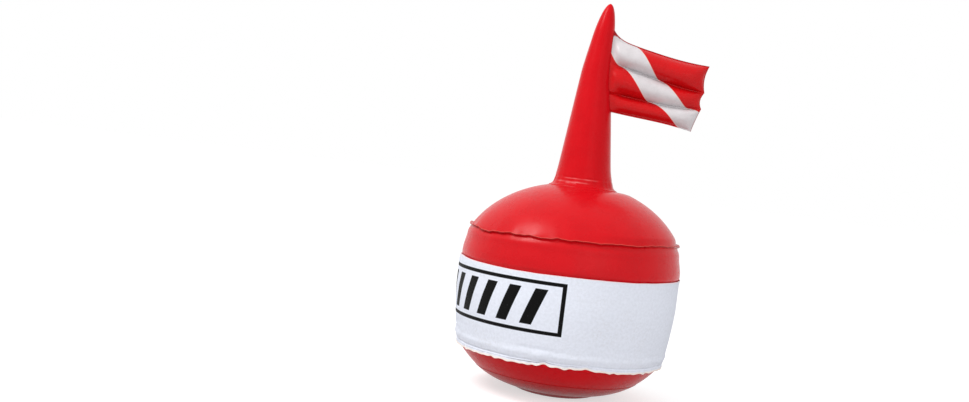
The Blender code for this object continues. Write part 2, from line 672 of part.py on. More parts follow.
def make_line_ring(finish):
    """D-shaped wire ring folded forward; its origin lies on its straight bar's axis."""
    half = (RING_EYE_WIDTH + WIRE) / 2
    depth = RING_EYE_DEPTH + WIRE / 2
    route = []
    for side, start in ((-1, math.pi), (1, math.pi / 2)):
        centre = (side * (half - RING_CORNER), -RING_CORNER)
        route += arc(centre, RING_CORNER, start, start - math.pi / 2, CORNER_STEPS)
    for step in range(1, RING_ARC_STEPS):
        turn = math.pi * step / RING_ARC_STEPS
        bow = -RING_CORNER - (depth - RING_CORNER) * math.sin(turn)
        route.append((half * math.cos(turn), bow))
    curve = bpy.data.curves.new("line_ring", "CURVE")
    curve.dimensions = "3D"
    curve.bevel_depth = WIRE / 2
    curve.bevel_resolution = 2
    spline = curve.splines.new("POLY")
    spline.points.add(len(route) - 1)
    for point, (x, y) in zip(spline.points, route):
        point.co = (x, y, 0, 1)
    spline.use_cyclic_u = True
    curve.materials.append(finish)
    ring = bpy.data.objects.new("line_ring", curve)
    ring.location = (0, 0, RING_HEIGHT)
    bpy.context.scene.collection.objects.link(ring)
    return ring


def main():
    """Build the float's pieces from the ball outwards."""
    for old in list(bpy.data.objects):
        bpy.data.objects.remove(old)
    red_film = material("red_film", (0.72, 0.012, 0.012), 0.32)
    white_canvas = material("white_canvas", (0.70, 0.72, 0.80), 0.62)
    flag_film = material("flag_film", (0.66, 0.013, 0.012), 0.34)
    clear_vinyl = material("clear_vinyl", (0.78, 0.79, 0.80), 0.35)
    base_film = material("base_film", (0.60, 0.014, 0.013), 0.40)
    webbing = material("webbing", (0.03, 0.03, 0.035), 0.85)
    ring_steel = material("ring_steel", (0.62, 0.62, 0.63), 0.25, 1.0)
    ballast_iron = material("ballast_iron", (0.20, 0.20, 0.21), 0.60, 1.0)

    make_upper_dome(red_film)
    make_red_belt(red_film)
    make_white_band(white_canvas)
    make_lower_dome(red_film)
    make_mast(red_film)
    make_flag_sheet("flag_front_sheet", -1, flag_film)
    make_flag_sheet("flag_rear_sheet", 1, flag_film)
    make_valve_body(clear_vinyl)
    make_valve_strap(clear_vinyl)
    make_valve_cap(clear_vinyl)
    make_check_flap(clear_vinyl)
    make_ballast_cover(base_film)
    make_ballast_ring(ballast_iron)
    make_base_patch(base_film)
    make_ring_keeper(webbing)
    make_line_ring(ring_steel)


main()
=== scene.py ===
"""Looks of an inflatable dive flag float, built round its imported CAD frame.

Metres, +Z up along the mast. Azimuth turns about the ball's axis: 0 is the front (-Y) and
a quarter turn is the side that the flag points to (+X).
"""

import logging
import math
from dataclasses import dataclass, replace
from enum import Enum
from typing import Callable, Iterable, Sequence

import bmesh
import bpy
import numpy as np
from mathutils import Matrix, Vector


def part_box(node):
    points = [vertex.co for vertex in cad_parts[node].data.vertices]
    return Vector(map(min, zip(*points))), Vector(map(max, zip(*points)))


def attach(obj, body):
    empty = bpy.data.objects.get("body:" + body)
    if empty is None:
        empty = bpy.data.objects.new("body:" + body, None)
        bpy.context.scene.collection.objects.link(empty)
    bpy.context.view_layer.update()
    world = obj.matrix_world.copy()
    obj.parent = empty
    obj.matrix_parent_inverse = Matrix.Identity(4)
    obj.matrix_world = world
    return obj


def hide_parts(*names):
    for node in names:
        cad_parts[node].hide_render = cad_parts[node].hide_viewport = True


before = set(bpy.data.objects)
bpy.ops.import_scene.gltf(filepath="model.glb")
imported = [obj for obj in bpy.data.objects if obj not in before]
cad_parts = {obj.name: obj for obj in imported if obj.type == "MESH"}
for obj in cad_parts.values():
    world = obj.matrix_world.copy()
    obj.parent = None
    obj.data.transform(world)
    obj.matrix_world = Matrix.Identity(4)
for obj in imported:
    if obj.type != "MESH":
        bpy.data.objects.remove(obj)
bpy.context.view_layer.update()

log = logging.getLogger("dive_flag_float")

Point = tuple[float, float]
Colour = tuple[float, float, float]
Values = np.ndarray
Places = tuple[Values, Values]
Rule = Callable[[Values, Values, Values], Places]
Shape = bmesh.types.BMesh
Mesh = bpy.types.Mesh
Material = bpy.types.Material
Tree = bpy.types.NodeTree
Node = bpy.types.Node
Socket = bpy.types.NodeSocket

# FILM is the thickness of a film and GAP the clearance between two pieces. Each of LEANS is a
# step towards the flag, and the two heights that it lies between.
FILM = 0.0009
GAP = 0.0003
LEANS = ((0.0014, 0.165, 0.180), (0.0030, 0.200, 0.292))
SMOOTH_ANGLE = math.radians(40)
MERGE_DISTANCE = 0.000003
MOST_WEDGES = 16


class Body(Enum):
    """The CAD bodies that pieces ride on."""

    FLOAT = "float"
    VALVE_CAP = "valve_cap"
    LINE_RING = "line_ring"


class Slot(Enum):
    """The record's material slots."""

    RED_FILM = "red_film"
    WHITE_CANVAS = "white_canvas"
    FLAG_FILM = "flag_film"
    CLEAR_VINYL = "clear_vinyl"
    BASE_FILM = "base_film"
    BALLAST_IRON = "ballast_iron"
    WEBBING = "webbing"
    RING_STEEL = "ring_steel"


# Meshes


def spaced(low: float, high: float, count: int, power: float = 1.0) -> list[float]:
    """Count + 1 values from low to high; a power above 1 gathers them towards low."""
    return [low + (high - low) * (step / count) ** power for step in range(count + 1)]


def arc(centre: Point, radius: float, start: float, end: float, steps: int) -> list[Point]:
    """Points along an arc from one angle to another, ends included."""
    x, y = centre
    return [(x + radius * math.cos(t), y + radius * math.sin(t)) for t in spaced(start, end, steps)]


def turned(outline: Sequence[Point], steps: int, closed: bool = True) -> Shape:
    """Turn an outline about the Z axis, as a wedge that is doubled until it closes.

    Args:
        outline: points (radius, height); a closed one is a ring's section, and an open one
            starts and ends on the axis.
        steps: how many facets go round.
        closed: whether the last point joins the first.

    Returns:
        The closed mesh, with its faces outwards.
    """
    shape = bmesh.new()
    verts = [shape.verts.new((radius, 0, height)) for radius, height in outline]
    ends = verts[1:] + verts[:1] if closed else verts[1:]
    edges = [shape.edges.new(pair) for pair in zip(verts, ends)]
    wedge, count = steps, 1
    while wedge % 2 == 0 and count < MOST_WEDGES:
        wedge, count = wedge // 2, count * 2
    turn = math.tau / count
    bmesh.ops.spin(
        shape, geom=verts + edges, cent=(0, 0, 0), axis=(0, 0, 1),
        angle=turn, steps=wedge, use_merge=False,
    )
    while count > 1:
        geometry = shape.verts[:] + shape.edges[:] + shape.faces[:]
        made = bmesh.ops.duplicate(shape, geom=geometry)["geom"]
        moved = [item for item in made if isinstance(item, bmesh.types.BMVert)]
        matrix = Matrix.Rotation(turn, 3, "Z")
        bmesh.ops.rotate(shape, cent=(0, 0, 0), matrix=matrix, verts=moved)
        turn, count = turn * 2, count // 2
    bmesh.ops.remove_doubles(shape, verts=shape.verts[:], dist=MERGE_DISTANCE)
    bmesh.ops.recalc_face_normals(shape, faces=shape.faces[:])
    return shape


def drawn_across(outline: Sequence[Point], width: float, cuts: int = 0) -> Shape:
    """Draw a flat outline across local X.

    Args:
        outline: points (y, z).
        width: the whole width, half of it to each side.
        cuts: how many times the width is cut.

    Returns:
        The closed mesh, with its faces outwards.
    """
    shape = bmesh.new()
    face = shape.faces.new([shape.verts.new((-width / 2, y, z)) for y, z in outline])
    drawn = bmesh.ops.extrude_face_region(shape, geom=[face], use_keep_orig=True)
    lifted = [item for item in drawn["geom"] if isinstance(item, bmesh.types.BMVert)]
    bmesh.ops.translate(shape, verts=lifted, vec=(width, 0, 0))
    for cut in range(cuts):
        across = width * ((cut + 1) / (cuts + 1) - 1 / 2)
        bmesh.ops.bisect_plane(
            shape, geom=shape.verts[:] + shape.edges[:] + shape.faces[:],
            plane_co=(across, 0, 0), plane_no=(1, 0, 0),
        )
    bmesh.ops.recalc_face_normals(shape, faces=shape.faces[:])
    return shape


def soften(shape: Shape, width: float, segments: int = 2) -> None:
    """Round every sharp edge of a mesh.

    Args:
        shape: the mesh, changed in place.
        width: how far the rounding reaches from the edge.
        segments: how many facets it has.
    """
    sharp = [
        edge for edge in shape.edges
        if len(edge.link_faces) == 2 and edge.calc_face_angle() > SMOOTH_ANGLE
    ]
    bmesh.ops.bevel(
        shape, geom=sharp, offset=width, segments=segments, affect="EDGES",
        profile=0.5, material=-1, clamp_overlap=True,
    )


def as_mesh(shape: Shape, rounding: float = 0.0, segments: int = 2) -> Mesh:
    """Write a bmesh to a new mesh and free it.

    Args:
        shape: the bmesh.
        rounding: how far its sharp edges are rounded first.
        segments: how many facets the rounding has.

    Returns:
        The mesh.
    """
    if rounding:
        soften(shape, rounding, segments)
    mesh = bpy.data.meshes.new("skin")
    shape.to_mesh(mesh)
    shape.free()
    return mesh


def points_of(mesh: Mesh) -> Values:
    """The mesh's points as rows of x, y and z.

    Args:
        mesh: the mesh.

    Returns:
        The rows.
    """
    points = np.empty(len(mesh.vertices) * 3)
    mesh.vertices.foreach_get("co", points)
    return points.reshape(-1, 3)


def bend(mesh: Mesh, rule: Rule) -> Values:
    """Move the points of a turned mesh by a rule.

    Args:
        mesh: the mesh, changed in place.
        rule: takes arrays of azimuth, radius and height, and gives new radii and heights.

    Returns:
        The arrays of azimuth, radius and height from before the move, as three rows.
    """
    points = points_of(mesh)
    azimuth = np.arctan2(points[:, 0], -points[:, 1])
    radius = np.hypot(points[:, 0], points[:, 1])
    before = np.stack([azimuth, radius, points[:, 2]])
    new_radius, new_height = rule(*before)
    points[:, 0] = new_radius * np.sin(azimuth)
    points[:, 1] = -new_radius * np.cos(azimuth)
    points[:, 2] = new_height
    mesh.vertices.foreach_set("co", points.ravel())
    mesh.update()
    return before


def mark(mesh: Mesh, name: str, values: Values) -> None:
    """Write one number for each point of a mesh, which materials read by its name."""
    layer = mesh.attributes.new(name, "FLOAT", "POINT")
    layer.data.foreach_set("value", np.asarray(values, np.float32))


def unit(value: Values) -> Values:
    """The value, held between 0 and 1."""
    return np.clip(value, 0, 1)


def smooth(value: Values, low: float, high: float) -> Values:
    """An even rise from 0 at low to 1 at high."""
    share = unit((value - low) / (high - low))
    return share**2 * (3 - 2 * share)


def fade(away: Values, length: float) -> Values:
    """What is left of 1 at a distance, falling off over a length."""
    return np.exp(-away / length)


def turn_from(azimuth: Values, centre: float) -> Values:
    """The turn from a centre to each azimuth, at most half a turn to each side."""
    return np.angle(np.exp(1j * (azimuth - centre)))


def push(mesh: Mesh, step: Callable[[Values], Values]) -> None:
    """Move a mesh's points towards the flag.

    Args:
        mesh: the mesh, changed in place.
        step: gives how far, from the points' heights.
    """
    points = points_of(mesh)
    points[:, 0] += step(points[:, 2])
    mesh.vertices.foreach_set("co", points.ravel())


def lean(height: Values) -> Values:
    """How far the float leans towards the flag at each height."""
    return sum(step * smooth(height, low, high) for step, low, high in LEANS)


def add_object(name: str, data: bpy.types.ID) -> bpy.types.Object:
    """Put a new object in the scene.

    Args:
        name: its name.
        data: its mesh, curve, camera or lamp.

    Returns:
        The object.
    """
    item = bpy.data.objects.new(name, data)
    bpy.context.scene.collection.objects.link(item)
    return item


def evaluated(item: bpy.types.Object) -> Mesh:
    """An object's mesh with its modifiers applied; the object is removed.

    Args:
        item: the object.

    Returns:
        The new mesh.
    """
    seen = item.evaluated_get(bpy.context.evaluated_depsgraph_get())
    mesh = bpy.data.meshes.new_from_object(seen)
    bpy.data.objects.remove(item)
    return mesh


def cut_or_join(mesh: Mesh, tools: Iterable[Mesh], operation: str) -> Mesh:
    """Cut meshes out of another one, or join them on.

    Args:
        mesh: the mesh that is changed.
        tools: closed meshes, removed afterwards.
        operation: DIFFERENCE or UNION.

    Returns:
        The new mesh.
    """
    made = [add_object("cut", part) for part in (mesh, *tools)]
    for tool in made[1:]:
        step = made[0].modifiers.new("cut", "BOOLEAN")
        step.operation = operation
        step.solver = "EXACT"
        step.object = tool
    result = evaluated(made[0])
    for tool in made[1:]:
        bpy.data.objects.remove(tool)
    return result


def publish(
    mesh: Mesh, name: str, finish: Material,
    replaces: str = "", body: Body = Body.FLOAT,
) -> None:
    """Put a finished mesh in the scene as a piece of the float.

    Args:
        mesh: the mesh, with its place in its points.
        name: the piece's name.
        finish: its material.
        replaces: the CAD node that it stands for, if any.
        body: the CAD body that it rides on.
    """
    mesh.name = name
    if body is Body.FLOAT:
        push(mesh, lean)
    mesh.shade_smooth()
    mesh.set_sharp_from_angle(angle=SMOOTH_ANGLE)
    mesh.materials.clear()
    mesh.materials.append(finish)
    piece = add_object(name, mesh)
    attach(piece, body.value)
    if replaces:
        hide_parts(replaces)
    log.info("%s: %d faces on body %s", name, len(mesh.polygons), body.value)


def dress(node: str, finish: Material) -> None:
    """Give a CAD node that stays its finish.

    Args:
        node: the node's name.
        finish: its material.
    """
    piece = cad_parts[node]
    piece.data.materials.clear()
    piece.data.materials.append(finish)
    log.info("%s: CAD node with finish %s", node, finish.name)


@dataclass(frozen=True)
class Ridge:
    """A single rise, or a dip where its size is below 0.

    Attributes:
        centre: where it is highest.
        size: how high it is.
        width: how far it reaches to each side.
    """

    centre: float | Values
    size: float
    width: float

    def at(self, value: Values) -> Values:
        """The rise at each value."""
        return self.size * np.exp(-(((value - self.centre) / self.width) ** 2))


@dataclass(frozen=True)
class Waves:
    """Waves that close on themselves round a ring.

    Attributes:
        parts: for each wave its count round the ring, its phase in radians and its share.
    """

    parts: tuple[tuple[int, float, float], ...]

    def at(self, azimuth: Values) -> Values:
        """The waves' sum at each azimuth."""
        return sum(share * np.cos(count * azimuth + phase) for count, phase, share in self.parts)


@dataclass(frozen=True)
class Lifts:
    """Single rises and dips along a seam.

    Attributes:
        parts: for each its azimuth in degrees, its rise in metres and its width in degrees.
    """

    parts: tuple[tuple[float, float, float], ...]

    def at(self, azimuth: Values) -> Values:
        """The rise at each azimuth."""
        return sum(
            Ridge(0, rise, math.radians(width)).at(turn_from(azimuth, math.radians(centre)))
            for centre, rise, width in self.parts
        )


# Finishes

# Between which noise values a finish's tone, the patches of its soiling and their specks rise.
TONE_RANGE = (0.3, 0.7)
PATCH_RANGE = (0.52, 0.75)
SPECK_RANGE = (0.45, 0.7)


class Graph:
    """Places and links the nodes of one shader tree."""

    def __init__(self, tree: Tree) -> None:
        """Start on a tree."""
        self.tree = tree

    def add(self, kind: str, inputs: dict | None = None, **settings: object) -> Node:
        """Add a node.

        Args:
            kind: the node's type, without ShaderNode.
            inputs: values or sockets for its inputs, by name or number.
            **settings: its other properties.

        Returns:
            The node.
        """
        node = self.tree.nodes.new("ShaderNode" + kind)
        for key, value in settings.items():
            setattr(node, key, value)
        for key, value in (inputs or {}).items():
            self.feed(node.inputs[key], value)
        return node

    def feed(self, socket: Socket, value: object) -> None:
        """Link a socket to an output, or set its value.

        Args:
            socket: the socket.
            value: an output, a number or a tuple.
        """
        if isinstance(value, Socket):
            self.tree.links.new(value, socket)
        elif isinstance(value, tuple) and len(value) == 3 and socket.type == "RGBA":
            socket.default_value = (*value, 1)
        else:
            socket.default_value = value

    def math(self, operation: str, *values: object) -> Socket:
        """A Math node's output."""
        return self.add("Math", dict(enumerate(values)), operation=operation).outputs[0]

    def ramp(
        self, value: object, low: float, high: float, start: float = 0.0, end: float = 1.0
    ) -> Socket:
        """A clamped rise from start, where the value is low, to end, where it is high."""
        names = ("Value", "From Min", "From Max", "To Min", "To Max")
        return self.add("MapRange", dict(zip(names, (value, low, high, start, end)))).outputs[0]

    def mix(self, share: object, first: object, second: object, blend: str = "MIX") -> Socket:
        """A colour mix.

        Args:
            share: how much of the second colour there is.
            first: the first colour.
            second: the second colour.
            blend: how they are mixed.

        Returns:
            The mixed colour.
        """
        inputs = {"Factor": share, 6: first, 7: second}
        return self.add("Mix", inputs, data_type="RGBA", blend_type=blend).outputs[2]

    def noise(self, place: object, scale: object, detail: float = 2.0) -> Socket:
        """A noise texture's value."""
        inputs = {"Vector": place, "Scale": scale, "Detail": detail}
        return self.add("TexNoise", inputs).outputs[0]

    def group(self, tree: Tree, **inputs: object) -> Node:
        """A placed node group.

        Args:
            tree: the group.
            **inputs: its inputs, with spaces written as underlines.

        Returns:
            The node.
        """
        node = self.add("Group", node_tree=tree)
        for key, value in inputs.items():
            self.feed(node.inputs[key.replace("_", " ")], value)
        return node


def new_group(
    name: str, inputs: dict[str, float | None], outputs: Sequence[str]
) -> tuple[Tree, Graph, Node, Node]:
    """Start a shader node group.

    Args:
        name: the group's name.
        inputs: each input's name and default, or None for a place.
        outputs: the names of its numbers.

    Returns:
        The tree, its graph, its input node and its output node.
    """
    tree = bpy.data.node_groups.new(name, "ShaderNodeTree")
    for key, value in inputs.items():
        kind = "NodeSocketVector" if value is None else "NodeSocketFloat"
        socket = tree.interface.new_socket(key, in_out="INPUT", socket_type=kind)
        if value is not None:
            socket.default_value = value
    for key in outputs:
        tree.interface.new_socket(key, in_out="OUTPUT", socket_type="NodeSocketFloat")
    source, result = tree.nodes.new("NodeGroupInput"), tree.nodes.new("NodeGroupOutput")
    return tree, Graph(tree), source, result


class SurfaceEffects:
    """The node groups that several finishes share."""

    def __init__(self) -> None:
        """Build each group once."""
        self.grain = self.build_grain()
        self.weave = self.build_weave()
        self.soiling = self.build_soiling()

    @staticmethod
    def build_grain() -> Tree:
        """Soft unevenness of moulded or rolled vinyl: a tone and a height."""
        tree, graph, source, result = new_group(
            "vinyl_grain", {"Place": None, "Grain": 750.0, "Swell": 45.0}, ["Tone", "Height"]
        )
        place, major, minor = source.outputs["Place"], 0.7, 0.3
        fine = graph.noise(place, source.outputs["Grain"], 3.0)
        swell = graph.noise(place, source.outputs["Swell"], 2.0)
        height = graph.math("MULTIPLY_ADD", swell, major, graph.math("MULTIPLY", fine, minor))
        graph.feed(result.inputs["Tone"], graph.ramp(height, *TONE_RANGE))
        graph.feed(result.inputs["Height"], height)
        return tree

    @staticmethod
    def build_weave() -> Tree:
        """Plain weave over a place whose X and Y run along the threads."""
        tree, graph, source, result = new_group(
            "plain_weave", {"Place": None, "Pitch": 0.001}, ["Tone", "Height"]
        )
        place, thread, knot, stain, knots = source.outputs["Place"], 0.35, 0.6, 0.12, 260.0
        wave = []
        for side in graph.add("SeparateXYZ", {0: place}).outputs[:2]:
            turns = graph.math("DIVIDE", side, source.outputs["Pitch"])
            wave.append(graph.math("SINE", graph.math("MULTIPLY", turns, math.tau)))
        crossing = graph.math("MULTIPLY", *wave)
        slub = graph.noise(place, knots, 3.0)
        height = graph.math("MULTIPLY_ADD", crossing, thread, graph.math("MULTIPLY", slub, knot))
        tone = graph.math("MULTIPLY_ADD", crossing, stain, slub)
        graph.feed(result.inputs["Tone"], graph.ramp(tone, *TONE_RANGE))
        graph.feed(result.inputs["Height"], height)
        return tree

    @staticmethod
    def build_soiling() -> Tree:
        """Faint marks of handling, in patches."""
        tree, graph, source, result = new_group(
            "handling_marks", {"Place": None, "Size": 18.0, "Amount": 0.2}, ["Mask"]
        )
        place, spots = source.outputs["Place"], 420.0
        patches = graph.ramp(graph.noise(place, source.outputs["Size"], 4.0), *PATCH_RANGE)
        specks = graph.ramp(graph.noise(place, spots), *SPECK_RANGE)
        marks = graph.math("MULTIPLY", patches, specks)
        mask = graph.math("MULTIPLY", marks, source.outputs["Amount"])
        graph.feed(result.inputs["Mask"], mask)
        return tree


class Painting(Graph):
    """A material in the making.

    Attributes:
        effects: the shared node groups.
        inputs: its shader's inputs.
        place: the object's coordinates.
    """

    def __init__(self, made: Material, effects: SurfaceEffects) -> None:
        """Start on an empty material.

        Args:
            made: the material.
            effects: the shared node groups.
        """
        super().__init__(made.node_tree)
        self.effects = effects
        self.inputs = made.node_tree.nodes["Principled BSDF"].inputs
        self.place = self.add("TexCoord").outputs["Object"]

    def read(self, name: str) -> Socket:
        """The value of a mesh's attribute."""
        return self.add("Attribute", attribute_name=name).outputs["Fac"]


@dataclass(frozen=True)
class Finish:
    """What every finish has: colours, a roughness and a shape for small unevenness.

    Attributes:
        name: the material's name.
        colour: its colour where nothing else lies on it.
        roughness: its mean roughness.
        specular: the shader's specular level.
        relief: the height of its unevenness in metres.
        tones: shares of the colour that its unevenness varies between.
        spread: how far the roughness varies with it, or 0 where it doesn't.
        grain: how many fine grains there are to the metre.
        swell: how many soft waves there are to the metre.
        soil: the colour of marks of handling.
        soiling: how many patches of them there are to the metre, and how strong they are.
        settings: other inputs of the shader and their values.
    """

    name: str
    colour: Colour
    roughness: float
    specular: float = 0.5
    relief: float = 0.0002
    tones: Point = (0.95, 1.04)
    spread: float = 0.08
    grain: float = 750.0
    swell: float = 45.0
    soil: Colour = (0.456, 0.0028, 0.0064)
    soiling: Point = (18.0, 0.25)
    settings: tuple[tuple[str, object], ...] = ()

    def build(self, effects: SurfaceEffects) -> Material:
        """The material.

        Args:
            effects: the shared node groups.

        Returns:
            The finished material.
        """
        made = bpy.data.materials.new(self.name)
        made.use_nodes = True
        made.diffuse_color = (*self.colour, 1)
        work = Painting(made, effects)
        own = (self.colour, self.roughness, self.specular)
        keys = ("Base Color", "Roughness", "Specular IOR Level")
        for key, value in (*zip(keys, own), *self.settings):
            work.feed(work.inputs[key], value)
        self.paint(work)
        return made

    def paint(self, work: Painting) -> None:
        """Lay on the colours.

        Args:
            work: the material in the making.
        """
        texture = self.grained(work)
        self.apply(work, self.soiled(work, self.mottled(work, texture)), texture)

    def shade(self, share: float) -> Colour:
        """The finish's colour, darker below a share of 1 and lighter above it."""
        return tuple(min(part * share, 1.0) for part in self.colour)

    def grained(self, work: Painting) -> Node:
        """The finish's grain."""
        return work.group(work.effects.grain, Place=work.place, Grain=self.grain, Swell=self.swell)

    def mottled(self, work: Painting, texture: Node) -> Socket:
        """The colour, uneven as the texture is."""
        return work.mix(texture.outputs["Tone"], *(self.shade(share) for share in self.tones))

    def soiled(self, work: Painting, colour: Socket) -> Socket:
        """A colour with marks of handling on it.

        Args:
            work: the material in the making.
            colour: the colour.

        Returns:
            The marked colour.
        """
        size, amount = self.soiling
        marks = work.group(work.effects.soiling, Place=work.place, Size=size, Amount=amount)
        return work.mix(marks.outputs["Mask"], colour, self.soil)

    def apply(
        self, work: Painting, colour: Socket, texture: Node, polish: Socket | None = None
    ) -> None:
        """Feed the shader.

        Args:
            work: the material in the making.
            colour: its colour.
            texture: the group with its tone and height.
            polish: its roughness, where that doesn't follow the tone.
        """
        work.feed(work.inputs["Base Color"], colour)
        if self.spread:
            low, high = self.roughness - self.spread / 2, self.roughness + self.spread / 2
            polish = work.ramp(texture.outputs["Tone"], 0.0, 1.0, low, high)
        if polish:
            work.feed(work.inputs["Roughness"], polish)
        heights = {"Height": texture.outputs["Height"], "Distance": self.relief, "Strength": 1.0}
        work.feed(work.inputs["Normal"], work.add("Bump", heights).outputs[0])


@dataclass(frozen=True)
class FilmFinish(Finish):
    """Welded vinyl film.

    Attributes:
        edge: a paler colour, where the attribute weld is 1: cut edges with a painted highlight on
            them, and painted highlights on the mast's pressed lines.
        painted_shade: a dark colour for painted shade on undersides and folds, where the attribute
            weld is -1.
    """

    edge: Colour = (0.80, 0.13, 0.10)
    painted_shade: Colour = (0.26, 0.003, 0.003)

    def paint(self, work: Painting) -> None:
        """Lay on the colours.

        Args:
            work: the material in the making.
        """
        texture, weld = self.grained(work), work.read("weld")
        colour = self.mottled(work, texture)
        # Where weld is above 0 the film is paler, with painted highlights; where it is below 0 it
        # is darker, with painted shade.
        colour = work.mix(work.ramp(weld, 0.0, 1.0), colour, self.edge)
        colour = work.mix(work.ramp(weld, 0.0, -1.0), colour, self.painted_shade)
        self.apply(work, self.soiled(work, colour), texture)


@dataclass(frozen=True)
class PrintedBorder:
    """A border with slanted bars in it, printed on the band.

    Attributes:
        right: azimuth of its right edge in degrees.
        left: azimuth of its left edge.
        low: height of its lower edge.
        high: height of its upper edge.
        line: width of its level lines.
        post: width of its upright lines.
        bar: width of a bar, along the band.
        pitch: how far one bar is from the next.
        bar_height: how tall the bars are.
        slant: how far a bar leans for each metre of height.
        margin: least free space that the bars leave along the border.
        blur: softness of the ink's edge.
    """

    right: float = 0.6
    left: float = -152.0
    low: float = 0.0958
    high: float = 0.1628
    line: float = 0.0047
    post: float = 0.0055
    bar: float = 0.0165
    pitch: float = 0.0355
    bar_height: float = 0.0465
    slant: float = 0.38
    margin: float = 0.010
    blur: float = 0.00025

    def ink(self, graph: Graph, along: Socket, up: Socket, radius: float) -> Socket:
        """Where the ink lies.

        Args:
            graph: the material's graph.
            along: the distance along the band.
            up: the height.
            radius: the radius that the distance is measured at.

        Returns:
            A mask, 1 where there is ink.
        """
        first, last = math.radians(self.left) * radius, math.radians(self.right) * radius
        half, rise = (last - first) / 2, (self.high - self.low) / 2
        aside = graph.math("SUBTRACT", along, (first + last) / 2)
        above = graph.math("SUBTRACT", up, (self.low + self.high) / 2)
        upwards = graph.math("ABSOLUTE", above)

        def beyond(place: Socket, across: float, upright: float) -> Socket:
            """How far a place is outside a box round the border's middle."""
            sideways = graph.math("SUBTRACT", graph.math("ABSOLUTE", place), across)
            return graph.math("MAXIMUM", sideways, graph.math("SUBTRACT", upwards, upright))

        def inked(outside: Socket) -> Socket:
            """A mask that is 1 where a distance is below 0."""
            return graph.ramp(outside, -self.blur, self.blur, 1.0, 0.0)

        room = inked(beyond(aside, half - self.post, rise - self.line))
        border = graph.math("SUBTRACT", inked(beyond(aside, half, rise)), room)
        length = 2 * (half - self.post) - self.slant * self.bar_height
        count = int((length - self.margin) / self.pitch)
        slid = graph.math("MULTIPLY_ADD", above, -self.slant, aside)
        shifted = graph.math("ADD", slid, (count - 1) * self.pitch / 2)
        step = graph.math("PINGPONG", shifted, self.pitch / 2)
        field = beyond(slid, count * self.pitch / 2, self.bar_height / 2)
        bars = graph.math("MAXIMUM", field, graph.math("SUBTRACT", step, self.bar / 2))
        return graph.math("MAXIMUM", border, inked(bars))


@dataclass(frozen=True)
class CanvasFinish(Finish):
    """Coated canvas with a printed border.

    Attributes:
        artwork: the border.
        radius: the radius at which distances along the band are measured.
        pitch: the weave's pitch.
        edge: the colour of its upper edge, where the attribute weld is 1.
        hem: the colour of its cut hem, where the attribute hem is 1.
        shadow: the colour of the painted shadow in its crease, where the attribute hem is -1.
        black: the ink's colour.
        ink_roughness: the ink's roughness.
        wear: the noise values that worn and whole ink lie at, and the ink's share at each.
        wear_scale: how many worn spots there are to the metre.
    """

    spread: float = 0.0
    soil: Colour = (0.56, 0.53, 0.52)
    soiling: Point = (18.0, 0.30)
    artwork: PrintedBorder = PrintedBorder()
    radius: float = 0.150
    pitch: float = 0.0011
    edge: Colour = (0.90, 0.70, 0.72)
    hem: Colour = (0.90, 0.80, 0.74)
    shadow: Colour = (0.20, 0.17, 0.17)
    black: Colour = (0.004, 0.004, 0.004)
    ink_roughness: float = 0.50
    wear: tuple[float, float, float, float] = (0.20, 0.30, 0.85, 1.0)
    wear_scale: float = 700.0

    def paint(self, work: Painting) -> None:
        """Lay on the colours and the print.

        Args:
            work: the material in the making.
        """
        x, y, up = work.add("SeparateXYZ", {0: work.place}).outputs
        azimuth = work.math("ARCTAN2", x, work.math("MULTIPLY", y, -1.0))
        along = work.math("MULTIPLY", azimuth, self.radius)
        laid = work.add("CombineXYZ", {0: along, 1: up}).outputs[0]
        texture = work.group(work.effects.weave, Place=laid, Pitch=self.pitch)
        colour = self.soiled(work, self.mottled(work, texture))
        colour = work.mix(work.read("weld"), colour, self.edge)
        hem = work.read("hem")
        colour = work.mix(work.ramp(hem, 0.0, 1.0), colour, self.hem)
        # Painted shadow in the crease above the hem.
        colour = work.mix(work.ramp(hem, 0.0, -1.0), colour, self.shadow)
        ink = self.artwork.ink(work, along, up, self.radius)
        worn = work.ramp(work.noise(work.place, self.wear_scale, 3.0), *self.wear)
        colour = work.mix(work.math("MULTIPLY", ink, worn), colour, self.black)
        polish = work.ramp(ink, 0.0, 1.0, self.roughness, self.ink_roughness)
        self.apply(work, colour, texture, polish)


@dataclass(frozen=True)
class FlagFinish(Finish):
    """Red film with one white diagonal stripe, read from the attribute print_across.

    Attributes:
        stripe: the stripe's colour.
        rim: the colour of its borders, where ink and film overlap.
        edge: the colour of the cut edges, where the attribute weld is 1.
        dull: what the colours are multiplied by where the film is dull.
        dulling: how strong that is at most.
    """

    swell: float = 120.0
    soil: Colour = (0.55, 0.30, 0.28)
    soiling: Point = (18.0, 0.08)
    stripe: Colour = (0.64, 0.61, 0.625)
    rim: Colour = (0.80, 0.62, 0.52)
    edge: Colour = (0.34, 0.006, 0.008)
    dull: Colour = (0.55, 0.5, 0.5)
    dulling: float = 0.22

    def paint(self, work: Painting) -> None:
        """Lay on the colours and the stripe.

        Args:
            work: the material in the making.
        """
        ramp = work.add("ValToRGB", {0: work.read("print_across")})
        stops = (
            (0.0, self.colour), (0.248, self.colour), (0.251, self.rim), (0.260, self.stripe),
            (0.738, self.stripe), (0.747, self.rim), (0.752, self.colour),
        )
        while len(ramp.color_ramp.elements) < len(stops):
            ramp.color_ramp.elements.new(0.5)
        for stop, (position, tone) in zip(ramp.color_ramp.elements, stops):
            stop.position = position
            stop.color = (*tone, 1)
        texture = self.grained(work)
        dull = work.ramp(texture.outputs["Tone"], 0.0, 1.0, self.dulling, 0.0)
        colour = work.mix(dull, ramp.outputs[0], self.dull, "MULTIPLY")
        colour = work.mix(work.read("weld"), colour, self.edge)
        self.apply(work, self.soiled(work, colour), texture)


